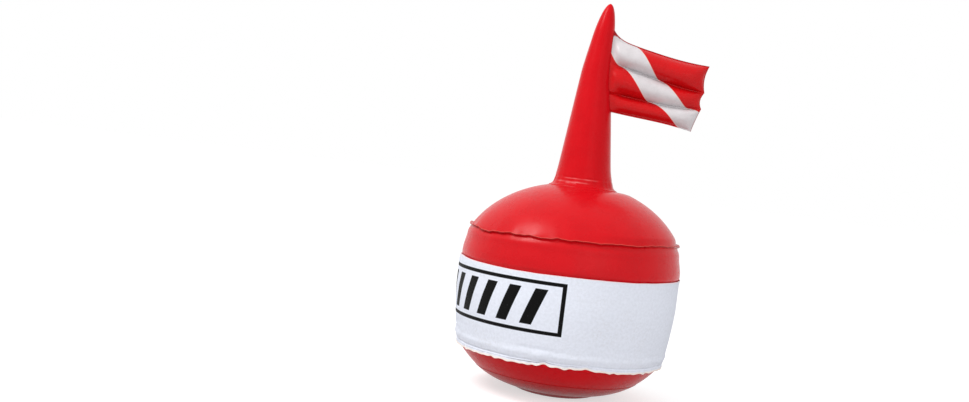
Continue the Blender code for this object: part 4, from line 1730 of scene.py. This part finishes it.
@dataclass
class Flag(SubAssembly):
    """Three inflated tubes side by side, made of two sheets welded along four lines.

    Attributes:
        mast: the mast that carries it.
        lines: each line's height above the crown at the mast, its fall to the fly end, that
            end's reach and how far it sags between, from the lowest line up.
        stripe_low: where the stripe's lower border crosses each line.
        stripe_high: where its upper border does.
        scallops: how far each tube's end stands back between its lines.
        web_rise: how far the top edge climbs the mast.
        web_run: over what length it does so.
        film: thickness of a sheet.
        weld: half the width of a weld between two tubes.
        lip: width of the weld along the outer edges.
        depth_share: a tube's depth to each side, as a share of its height.
        hoist_share: the sheet's depth at the mast, as a share of the mast's radius.
        fly_taper: the length over which a tube closes at its end.
        hoist_taper: the length over which the tubes run into one at the mast.
        crease: what stays of the lowest crease there, by the tube's number.
        rows: rows of facets in a tube.
        columns: facets from the mast to the fly end.
    """

    mast: Mast
    lines: tuple[tuple[float, float, float, float], ...] = (
        (0.1016, 0.0136, 0.1358, -0.0016), (0.1265, 0.0068, 0.1458, 0.0034),
        (0.1672, 0.0256, 0.1475, 0.0028), (0.2000, 0.0220, 0.1500, 0.0028),
    )
    stripe_low: tuple[float, ...] = (0.1207, 0.0750, 0.0300, -0.013)
    stripe_high: tuple[float, ...] = (0.174, 0.1292, 0.0862, 0.044)
    scallops: tuple[float, ...] = (0.0006, 0.0036, 0.0034)
    web_rise: float = 0.0120
    web_run: float = 0.0085
    film: float = 0.0008
    weld: float = 0.0007
    lip: float = 0.0015
    depth_share: float = 0.42
    hoist_share: float = 0.50
    fly_taper: float = 0.030
    hoist_taper: float = 0.0105
    crease: Ridge = Ridge(1, 0.35, 0.2)
    rows: int = 30
    columns: int = 150

    def sheet(self, side: int) -> Mesh:
        """One quilted sheet, a closed skin.

        Args:
            side: -1 for the front, 1 for the rear.

        Returns:
            The mesh, with the attributes print_across and weld.
        """
        names, apart = ("column", "row", "inside"), 0.1
        rows = self.rows * (len(self.lines) - 1)
        shape = bmesh.new()
        layers = [shape.verts.layers.int.new(name) for name in names]
        bmesh.ops.create_grid(shape, x_segments=self.columns, y_segments=rows, size=1)
        for vert in shape.verts:
            vert[layers[0]] = round((vert.co.x + 1) / 2 * self.columns)
            vert[layers[1]] = round((vert.co.y + 1) / 2 * rows)
        drawn = bmesh.ops.extrude_face_region(shape, geom=shape.faces[:], use_keep_orig=True)
        for item in drawn["geom"]:
            if isinstance(item, bmesh.types.BMVert):
                item[layers[2]] = 1
                item.co.z -= apart
        bmesh.ops.recalc_face_normals(shape, faces=shape.faces[:])
        if side < 0:
            bmesh.ops.reverse_faces(shape, faces=shape.faces[:])
        mesh = as_mesh(shape)
        column, row, inside = (self.take(mesh, name) for name in names)
        points, across, weld = self.shape(column / self.columns, row, inside, side)
        mesh.vertices.foreach_set("co", points.ravel())
        mark(mesh, "print_across", across)
        mark(mesh, "weld", weld)
        mesh.update()
        return mesh

    @staticmethod
    def take(mesh: Mesh, name: str) -> Values:
        """The whole numbers of a point attribute, which is removed.

        Args:
            mesh: the mesh.
            name: the attribute's name.

        Returns:
            The numbers.
        """
        values = np.empty(len(mesh.vertices), np.int32)
        mesh.attributes[name].data.foreach_get("value", values)
        mesh.attributes.remove(mesh.attributes[name])
        return values

    def shape(
        self, step: Values, row: Values, inside: Values, side: int
    ) -> tuple[Values, Values, Values]:
        """Where the sheet's points lie.

        Args:
            step: how far each point is from the mast to the fly end, 0 to 1.
            row: its row, counted from the lowest line.
            inside: 1 on the sheet's inner face.
            side: -1 for the front, 1 for the rear.

        Returns:
            The points, their place across the stripe, and where the welds are.
        """
        gathered, sag_power, drift = 0.72, 1.6, 0.10
        red_share, red_width, red_reach, end_share = 0.8, 0.004, 0.003, 0.5
        stripe_start, half = 0.25, (len(self.lines) - 1) / 2
        # How far along its tube each point is, and where the tube's two lines lie there.
        share = step - gathered * np.sin(math.tau * step) / math.tau
        last = len(self.lines) - 2
        tube = np.minimum(row // self.rows, last)
        turn = math.pi * (row - tube * self.rows) / self.rows
        drop, fall, reach, sag = np.array(self.lines).T
        low, high = (
            self.mast.crown + drop[at] - fall[at] * share
            - sag[at] * np.sin(math.pi * share**sag_power) for at in (tube, tube + 1)
        )
        width, across = high - low, -np.cos(turn)
        up = (across + 1) / 2
        rise = up * width
        height = low + rise
        reach = reach[tube] + (reach[tube + 1] - reach[tube]) * up
        reach = reach - np.array(self.scallops)[tube] * (1 - across**2)
        start = self.mast.lean_at(height) + self.mast.radius_at(height)
        run, left = (reach - start) * share, (reach - start) * (1 - share)
        # How deep the tubes are there, and how they run into one at the mast.
        place = tube + turn / math.pi
        depth = self.depth(tube, turn, rise, width, run, left, side)
        whole = (place - half) / half
        single = self.hoist_share * self.mast.radius_at(height) * np.sqrt(1 - np.abs(whole) ** 3)
        merged = np.exp(-((run / self.hoist_taper) ** 2)) * (1 - self.crease.at(place))
        depth += (single - depth) * merged
        depth = np.maximum(depth, 0) + GAP / 2 + np.where(inside == 1, 0, self.film)

        # The top edge climbs the mast, whose round side the sheet starts on.
        web = fade(run, self.web_run) * self.web_rise * up**2
        height = height + np.where(tube == last, web, 0)
        at = self.mast.radius_at(height) + GAP
        start = self.mast.lean_at(height) + np.sqrt(np.maximum(at**2 - depth**2, 0))
        along = start + (reach - start) * share

        # The stripe, and the dark red edge along the top and, fainter, at the fly end.
        stations, place = np.arange(len(self.lines)), place - drift * np.sin(turn)
        border_low = np.interp(place, stations, self.stripe_low)
        border_high = np.interp(place, stations, self.stripe_high)
        part = (along - border_low) / (border_high - border_low)
        red = self.lip * red_share + red_width * fade(run, red_reach)
        weld = np.maximum(end_share * (left < FILM), (tube == last) & (rise > width - red))
        points = np.stack([along, side * depth, height], axis=1)
        return points, unit(stripe_start + part * (1 - 2 * stripe_start)), weld

    def depth(
        self, tube: Values, turn: Values, rise: Values, width: Values,
        run: Values, left: Values, side: int,
    ) -> Values:
        """How far the tubes stand out.

        Args:
            tube: each point's tube.
            turn: its turn across the tube, 0 to half a turn.
            rise: its distance from the tube's lower line.
            width: the tube's height there.
            run: its distance from the mast.
            left: its distance from the fly end.
            side: -1 for the front, 1 for the rear.

        Returns:
            The sheet's depth at each point, with its gathers and ripples.
        """
        last, held, fullness, closing_start = len(self.lines) - 2, 0.0009, 0.7, 0.8
        gather_reach, ripple_reach, ripple = 0.007, 0.0045, 0.00020
        tube_phase, side_phase, fine_phase = 1.7, 0.6, 2.1
        wide, fine, fine_share, long, short, short_share = 5.5, 9, 0.6, 0.0095, 0.0061, 0.7
        below = np.where(tube == 0, self.lip, self.weld)
        above = np.where(tube == last, self.lip, self.weld)
        level = unit((rise - below) / (width - below - above))
        bulge = unit(1 - (2 * level - 1) ** 2) ** fullness
        closing = unit((left - self.lip * closing_start) / self.fly_taper)
        open_share = bulge * np.sqrt(1 - (1 - closing) ** 2)
        phase = tube_phase * tube + side_phase * side
        gather = np.cos(wide * turn + phase) + fine_share * np.cos(fine * turn + fine_phase * phase)
        turns = run * math.tau
        waves = np.cos(turns / long + phase) + short_share * np.cos(turns / short)
        depth = width * self.depth_share + held * gather * fade(left, gather_reach)
        depth += ripple * waves * fade(np.minimum(rise, width - rise), ripple_reach)
        return depth * open_share

    def build(self) -> None:
        """Build the two sheets."""
        for name, side in (("flag_front_sheet", -1), ("flag_rear_sheet", 1)):
            publish(self.sheet(side), name + "_skin", self.finishes.flag, name)


# Valve


@dataclass
class Valve(SubAssembly):
    """Inflation valve in the back of the band: body, strap, cap and check flap.

    Heights count out of the band, from its surface.

    Attributes:
        ball: the ball that carries it.
        bore: the neck's inner radius.
        neck: its outer radius.
        depth: how far it reaches into the ball.
        flange: radius of its flange.
        flange_film: the flange's thickness.
        rim: radius of its rim.
        rim_start: the rim's lower face.
        rim_end: its upper face.
        seat: how deep the flange lies.
        strap_start: the strap's lower face.
        strap_film: its thickness.
        strap_ring: its outer radius.
        strap_width: width of its lug, of the cap's arm and of its tab.
        cap_thickness: thickness of the cap's disc.
        plug: radius of its plug.
        plug_length: the plug's length.
        hinge_reach: how far the hinge is from the neck's axis.
        hinge_height: the height of its axis.
        knuckle: radius of its knuckle.
        pull: how far the pull tab reaches past the rim.
        rounding: how far the body's edges are rounded.
        strap_rounding: how far the strap's are.
        arm_rounding: how far those of the cap's arm and tab are.
        disc_rounding: how far those of its disc are.
        steps: facets round it.
    """

    ball: Ball
    bore: float = 0.0040
    neck: float = 0.0055
    depth: float = 0.011
    flange: float = 0.013
    flange_film: float = 0.001
    rim: float = 0.0070
    rim_start: float = 0.0014
    rim_end: float = 0.0024
    seat: float = 0.00152
    strap_start: float = 0.00035
    strap_film: float = 0.00075
    strap_ring: float = 0.0080
    strap_width: float = 0.0050
    cap_thickness: float = 0.0016
    plug: float = 0.0036
    plug_length: float = 0.0030
    hinge_reach: float = 0.0120
    hinge_height: float = 0.0026
    knuckle: float = 0.0009
    pull: float = 0.0030
    rounding: float = 0.00022
    strap_rounding: float = 0.00015
    arm_rounding: float = 0.0002
    disc_rounding: float = 0.0003
    steps: int = 72

    def placed(self, shape: Shape) -> Mesh:
        """Move a part from the valve's frame to its place.

        Args:
            shape: the part.

        Returns:
            Its mesh.
        """
        bmesh.ops.transform(shape, matrix=self.ball.valve_matrix(), verts=shape.verts[:])
        return as_mesh(shape)

    def make_body(self) -> None:
        """Build the neck with its welded flange and its rim."""
        seat, film, rings = -self.seat, self.flange_film, 6
        outline = [(self.bore, self.rim_end), (self.rim, self.rim_end), (self.rim, self.rim_start)]
        outline += [(self.neck, self.rim_start), (self.neck, seat)]
        outline += [(radius, seat) for radius in spaced(self.neck, self.flange, rings)[1:]]
        outline += [(radius, seat - film) for radius in spaced(self.flange, self.neck, rings)]
        outline += [(self.neck, -self.depth), (self.bore, -self.depth)]
        shape = turned(outline, self.steps)
        soften(shape, self.rounding, 3)
        for vert in shape.verts:
            if vert.co.xy.length > self.neck + GAP and vert.co.z < 0:
                vert.co.z -= vert.co.x**2 / (2 * self.ball.radius)
        finish = self.finishes.vinyl
        publish(self.placed(shape), "valve_body_skin", finish, "valve_body")

    def make_strap(self) -> None:
        """Build the flat ring round the neck and its lug."""
        inner, outer, start = self.neck + GAP, self.strap_ring, self.strap_start
        end, top = start + self.strap_film, self.hinge_height - GAP
        ring = turned([(inner, start), (outer, start), (outer, end), (inner, end)], self.steps)
        root, near = -(outer + inner) / 2, -self.hinge_reach + self.knuckle + GAP
        far = near + self.strap_film
        outline = [(root, start), (near, start), (near, top), (far, top), (far, end), (root, end)]
        lug = drawn_across(outline, self.strap_width)
        for part in (ring, lug):
            soften(part, self.strap_rounding)
        mesh = cut_or_join(self.placed(ring), [self.placed(lug)], "UNION")
        finish = self.finishes.vinyl
        publish(mesh, "valve_strap_skin", finish, "valve_strap")

    def make_cap(self) -> None:
        """Build the cap: a disc with a plug, a hinge arm and a ribbed pull tab."""
        crown, dip, chamfer = 0.0002, 0.0004, 0.0005
        rib, rib_half, rib_pitch, root_share, arc_steps = 0.0003, 0.0002, 0.0008, 0.6, 18
        under = self.rim_end + GAP
        top, tip = under + self.cap_thickness, under - self.plug_length
        rings = ((0.35, crown), (0.48, -dip), (0.68, -dip), (0.76, 0), (1, 0))
        outline = [(0, top + rib)] + [(self.rim * share, top + rise) for share, rise in rings]
        outline += [(self.rim, under), (self.plug, under), (self.plug, tip + chamfer)]
        disc = turned(outline + [(self.plug - chamfer, tip), (0, tip)], self.steps, False)
        soften(disc, self.disc_rounding, 3)
        hinge, root, end = -self.hinge_reach, self.rim * root_share, self.rim + self.pull
        turns = math.radians(150), math.radians(330)
        arm = [(-root, under), (-root, top), (hinge, top)]
        arm += arc((hinge, self.hinge_height), self.knuckle, *turns, arc_steps)
        arm += [(hinge + self.knuckle, under)]
        tab = [(root, under), (end, under), (end, top)]
        for place in (end - rib_pitch * count for count in (1, 2, 3)):
            tab += [(place + rib_half, top), (place, top + rib), (place - rib_half, top)]
        tools = []
        for outline in (arm, tab + [(root, top)]):
            part = drawn_across(outline, self.strap_width)
            soften(part, self.arm_rounding)
            tools.append(self.placed(part))
        mesh = cut_or_join(self.placed(disc), tools, "UNION")
        finish = self.finishes.vinyl
        publish(mesh, "valve_cap_skin", finish, "valve_cap", Body.VALVE_CAP)

    def build(self) -> None:
        """Build the valve's pieces."""
        self.make_body()
        self.make_strap()
        self.make_cap()
        dress("check_flap", self.finishes.vinyl)


# Base and line ring


@dataclass
class Base(SubAssembly):
    """Ballast pouch, reinforcing patch and webbing keeper below the bowl.

    Attributes:
        ball: the bowl that carries it.
        cover: the cover's outer radius.
        cover_film: its thickness.
        weld_width: how wide it is welded to the bowl.
        recess: radius of the recess in the middle.
        patch: the patch's radius.
        patch_film: its thickness.
        keeper_top: height of the keeper's tails.
        keeper_width: the webbing's width.
        webbing: its thickness.
        tail: how far its tails reach.
        bend_radius: the loop's inner radius.
        ring_height: height of the ring's bar.
        columns: facets round the cover.
        patch_columns: facets round the patch.
        patch_margin: how far the patch's pressed ring lies inside the recess.
        presses: the cover's two pressed lines, counted from its weld and from its edge.
        cover_rounding: how far the cover's edges are rounded.
        patch_rounding: how far the patch's are.
        webbing_rounding: how far the webbing's are.
        stitch: half the length and half the thickness of a stitch.
        stitches: how many stitches a row has.
        stitch_shares: where the rows lie on a tail, as shares of its length.
    """

    ball: Ball
    cover: float = 0.0672
    cover_film: float = 0.0011
    weld_width: float = 0.0060
    recess: float = 0.028
    patch: float = 0.034
    patch_film: float = 0.001
    keeper_top: float = 0.00745
    keeper_width: float = 0.020
    webbing: float = 0.0011
    tail: float = 0.0065
    bend_radius: float = 0.00235
    ring_height: float = 0.00385
    columns: int = 216
    patch_columns: int = 120
    patch_margin: float = 0.004
    presses: tuple[Ridge, Ridge] = (
        Ridge(0.0008, 0.00035, 0.0009), Ridge(-0.0022, 0.00025, 0.0008),
    )
    cover_rounding: float = 0.0003
    patch_rounding: float = 0.0002
    webbing_rounding: float = 0.00025
    stitch: Point = (0.00075, 0.00022)
    stitches: int = 8
    stitch_shares: Point = (0.42, 0.86)

    def __post_init__(self) -> None:
        """Work out the sizes that follow from the others."""
        self.weld = self.cover - self.weld_width

    def cover_rule(self, azimuth: Values, radius: Values, height: Values) -> Places:
        """Shape the cover: its fullness, and gathers inside its weld.

        Args:
            azimuth: the points' azimuths.
            radius: their radii.
            height: their heights.

        Returns:
            The new radii and heights.
        """
        fullness, full_from, gather, gather_from, reach = 0.0009, 0.0004, 0.00030, 0.0015, 0.004
        foot = self.ball.base_radius
        share = unit((radius - foot) / (self.weld - foot))
        height = height - fullness * np.sin(math.pi * share) * (height > full_from)
        gathers = self.ball.puckers.at(azimuth) * fade(np.abs(radius - self.weld), reach)
        return radius, height - gather * gathers * (height > gather_from)

    def make_cover(self) -> None:
        """Build the ballast's cover, whose foot the float stands on."""
        ball, film, weld, recess = self.ball, self.cover_film, self.weld, self.recess
        flat_rings, rings = 5, 30
        radii = spaced(ball.base_radius, self.cover, rings)
        at_weld, at_edge = self.presses
        outline = [(radius, 0) for radius in spaced(recess, ball.base_radius, flat_rings)[:-1]]
        for radius in radii:
            press = at_weld.at(radius - weld) + at_edge.at(radius - self.cover)
            outline.append((radius, ball.bowl_height(radius) + press))
        room = [(radius, ball.bowl_height(radius, film)) for radius in radii[::3] if radius < weld]
        room[0] = (ball.base_radius, film)
        top, hub = ball.base_flat - GAP, recess + film
        outline += [(self.cover, top), (weld, top)] + room[::-1]
        outline += [(hub, film), (hub, self.keeper_top), (recess, self.keeper_top)]
        mesh = as_mesh(turned(outline, self.columns), self.cover_rounding, 3)
        bend(mesh, self.cover_rule)
        publish(mesh, "ballast_cover_skin", self.finishes.base, "ballast_cover")

    def make_patch(self) -> None:
        """Build the disc that the webbing is sewn to."""
        press, press_width = 0.0002, 0.0006
        under, rim = self.keeper_top + GAP, self.recess - self.patch_margin
        top = under + self.patch_film
        outline = [(0, under), (rim - press_width, under), (rim, under + press)]
        outline += [(rim + press_width, under), (self.patch, under), (self.patch, top), (0, top)]
        mesh = as_mesh(turned(outline, self.patch_columns, False), self.patch_rounding)
        publish(mesh, "base_patch_skin", self.finishes.base, "base_patch")

    def make_keeper(self) -> None:
        """Build the webbing loop."""
        top, inner, bend_steps, cuts = self.keeper_top, self.bend_radius, 28, 9
        under, outer, centre = top - self.webbing, inner + self.webbing, (0, self.ring_height)
        outline = [(-self.tail, top), (-self.tail, under), (-outer, under)]
        outline += arc(centre, outer, math.pi, math.tau, bend_steps)
        outline += [(outer, under), (self.tail, under), (self.tail, top), (inner, top)]
        outline += arc(centre, inner, math.tau, math.pi, bend_steps) + [(-inner, top)]
        mesh = as_mesh(drawn_across(outline, self.keeper_width, cuts), self.webbing_rounding)
        publish(mesh, "ring_keeper_skin", self.finishes.tape, "ring_keeper")

    def make_stitches(self) -> None:
        """Build rows of stitches on the webbing's tails."""
        shape, (half, thick) = bmesh.new(), self.stitch
        under, inner = self.keeper_top - self.webbing, self.bend_radius + self.webbing
        size = Matrix.Diagonal((half, thick, thick, 1))
        for side, share in ((side, share) for side in (-1, 1) for share in self.stitch_shares):
            line = side * (inner + (self.tail - inner) * share)
            for index in range(self.stitches):
                place = self.keeper_width * ((index + 0.5) / self.stitches - 0.5)
                stitch = bmesh.ops.create_uvsphere(shape, u_segments=8, v_segments=5, radius=1)
                matrix = Matrix.Translation((place, line, under)) @ size
                bmesh.ops.transform(shape, matrix=matrix, verts=stitch["verts"])
        publish(as_mesh(shape), "keeper_stitches", self.finishes.thread)

    def build(self) -> None:
        """Build the base."""
        self.make_cover()
        self.make_patch()
        self.make_keeper()
        self.make_stitches()
        dress("ballast_ring", self.finishes.iron)


@dataclass
class LineRing(SubAssembly):
    """D-shaped wire ring, folded forward into the base's recess.

    Attributes:
        height: height of its bar's axis.
        wire: the wire's thickness.
        eye_width: the eye's width.
        eye_depth: the eye's depth.
        corner: radius of the corners at the bar.
        corner_steps: chords of a corner.
        eye_steps: chords of the eye.
        sides: facets round a quarter of the wire, beyond the first.
    """

    height: float
    wire: float = 0.0040
    eye_width: float = 0.025
    eye_depth: float = 0.016
    corner: float = 0.004
    corner_steps: int = 10
    eye_steps: int = 48
    sides: int = 6

    def route(self) -> list[Point]:
        """The wire's centre line, seen from above."""
        half, corner = (self.eye_width + self.wire) / 2, self.corner
        depth = self.eye_depth + self.wire / 2 - corner
        points = []
        for side, start in ((-1, math.pi), (1, math.pi / 2)):
            centre = (side * (half - corner), -corner)
            points += arc(centre, corner, start, start - math.pi / 2, self.corner_steps)
        for turn in spaced(0, math.pi, self.eye_steps)[1:-1]:
            points.append((half * math.cos(turn), -corner - depth * math.sin(turn)))
        return points

    def build(self) -> None:
        """Build the ring as a swept wire."""
        curve = bpy.data.curves.new("line_ring", "CURVE")
        curve.dimensions = "3D"
        curve.bevel_depth = self.wire / 2
        curve.bevel_resolution = self.sides
        spline = curve.splines.new("POLY")
        route = self.route()
        spline.points.add(len(route) - 1)
        for point, (x, y) in zip(spline.points, route):
            point.co = (x, y, self.height, 1)
        spline.use_cyclic_u = True
        mesh = evaluated(add_object("wire", curve))
        finish = self.finishes.steel
        publish(mesh, "line_ring_wire", finish, "line_ring", Body.LINE_RING)


# Studio


@dataclass
class Studio:
    """Floor, light, world and camera.

    Attributes:
        distance: how far the camera is from the ball's axis.
        eye: the camera's height.
        yaw: how far it looks to the right of the axis, in degrees.
        pitch: how far it looks up.
        roll: how far it is tilted anticlockwise.
        focal: its focal length in pixels of the photograph.
        image_width: the photograph's width in pixels.
        sensor: the sensor's width in millimetres.
        fill: the world's strength for diffuse light.
        aim: the height that the lamps face.
        lamp_distance: how far they are from there.
        floor_size: the floor's side.
        floor_drop: how far it lies below the float.
        floor_tone: how light it is.
        floor_roughness: its roughness.
        floor_glow: what the floor adds to its own light for the camera.
    """

    distance: float = 1.58
    eye: float = 0.300
    yaw: float = -4.55
    pitch: float = -1.90
    roll: float = 7.0
    focal: float = 1154.6
    image_width: float = 969
    sensor: float = 36
    fill: float = 0.77
    aim: float = 0.22
    lamp_distance: float = 2.4
    floor_size: float = 40.0
    floor_drop: float = 0.0002
    floor_tone: float = 0.55
    floor_roughness: float = 0.9
    floor_glow: float = 0.61

    def add_camera(self) -> None:
        """Place the camera at the photograph's angle."""
        data = bpy.data.cameras.new("camera")
        data.sensor_fit = "HORIZONTAL"
        data.sensor_width = self.sensor
        data.lens = self.focal * self.sensor / self.image_width
        matrix = Matrix.Translation((0, -self.distance, self.eye))
        for turn, axis in ((-self.yaw, "Z"), (90 + self.pitch, "X"), (self.roll, "Z")):
            matrix = matrix @ Matrix.Rotation(math.radians(turn), 4, axis)
        camera = add_object("camera", data)
        camera.matrix_world = matrix
        bpy.context.scene.camera = camera

    def add_lamp(
        self, name: str, azimuth: float, elevation: float, size: Point, power: float,
        mirrored: bool = True,
    ) -> None:
        """Add a soft lamp that faces the float.

        Args:
            name: the lamp's name.
            azimuth: its direction in degrees, as seen from above.
            elevation: its angle above the horizon.
            size: its width and height.
            power: its power in watts.
            mirrored: whether it shows in shiny surfaces.
        """
        data = bpy.data.lights.new(name, "AREA")
        data.shape = "RECTANGLE"
        data.size, data.size_y = size
        data.energy = power
        turn, rise = math.radians(azimuth), math.radians(elevation)
        aside, ahead = math.sin(turn) * math.cos(rise), -math.cos(turn) * math.cos(rise)
        away = Vector((aside, ahead, math.sin(rise)))
        lamp = add_object(name, data)
        lamp.location = Vector((0, 0, self.aim)) + away * self.lamp_distance
        lamp.visible_glossy = mirrored
        lamp.rotation_mode = "QUATERNION"
        lamp.rotation_quaternion = away.to_track_quat("Z", "Y")

    @staticmethod
    def seen(graph: Graph) -> Socket:
        """A value that is 1 or more where a ray comes from the camera or a mirror."""
        path = graph.add("LightPath").outputs
        return graph.math("ADD", path["Is Camera Ray"], path["Is Glossy Ray"])

    def add_world(self) -> None:
        """White where it is seen or mirrored, and a plain fill otherwise."""
        world = bpy.data.worlds.new("studio")
        world.use_nodes = True
        graph = Graph(world.node_tree)
        through = graph.add("LightPath").outputs["Is Transmission Ray"]
        seen = graph.math("ADD", self.seen(graph), through)
        inputs = world.node_tree.nodes["Background"].inputs
        graph.feed(inputs["Color"], (1, 1, 1))
        graph.feed(inputs["Strength"], graph.ramp(seen, 0.0, 1.0, self.fill, 1.0))
        bpy.context.scene.world = world

    def add_floor(self) -> None:
        """A plain pale floor that keeps the float's shadow."""
        shape = bmesh.new()
        bmesh.ops.create_grid(shape, x_segments=1, y_segments=1, size=self.floor_size / 2)
        mesh = as_mesh(shape)
        finish = bpy.data.materials.new("studio_floor")
        finish.use_nodes = True
        graph = Graph(finish.node_tree)
        inputs = finish.node_tree.nodes["Principled BSDF"].inputs
        graph.feed(inputs["Base Color"], (self.floor_tone,) * 3)
        graph.feed(inputs["Roughness"], self.floor_roughness)
        graph.feed(inputs["Specular IOR Level"], 0.0)
        graph.feed(inputs["Emission Color"], (1, 1, 1))
        glow = graph.ramp(self.seen(graph), 0.0, 1.0, 0.0, self.floor_glow)
        graph.feed(inputs["Emission Strength"], glow)
        mesh.materials.append(finish)
        floor = add_object("floor", mesh)
        floor.location.z = -self.floor_drop

    def build(self) -> None:
        """Build the studio."""
        self.add_camera()
        self.add_lamp("key", azimuth=-62, elevation=48, size=(0.7, 0.8), power=33)
        self.add_lamp(
            "front", azimuth=26, elevation=10, size=(1.6, 1.6), power=17, mirrored=False
        )
        self.add_world()
        self.add_floor()
        bpy.context.scene.view_settings.view_transform = "Standard"


def main() -> None:
    """Build the float's looks, piece by piece, and its studio."""
    logging.basicConfig(level=logging.INFO, format="%(message)s")
    finishes = Finishes()
    low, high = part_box("white_band")
    ball = Ball(finishes, radius=(high.x - low.x) / 2, band_top=high.z)
    mast = Mast(finishes, ball, tip=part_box("mast")[1].z)
    low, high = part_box("line_ring")
    ring = LineRing(finishes, height=(low.z + high.z) / 2)
    flag, valve, base = Flag(finishes, mast), Valve(finishes, ball), Base(finishes, ball)
    for part in (ball, mast, flag, valve, base, ring):
        part.build()
    Studio().build()


if __name__ == "__main__":
    main()
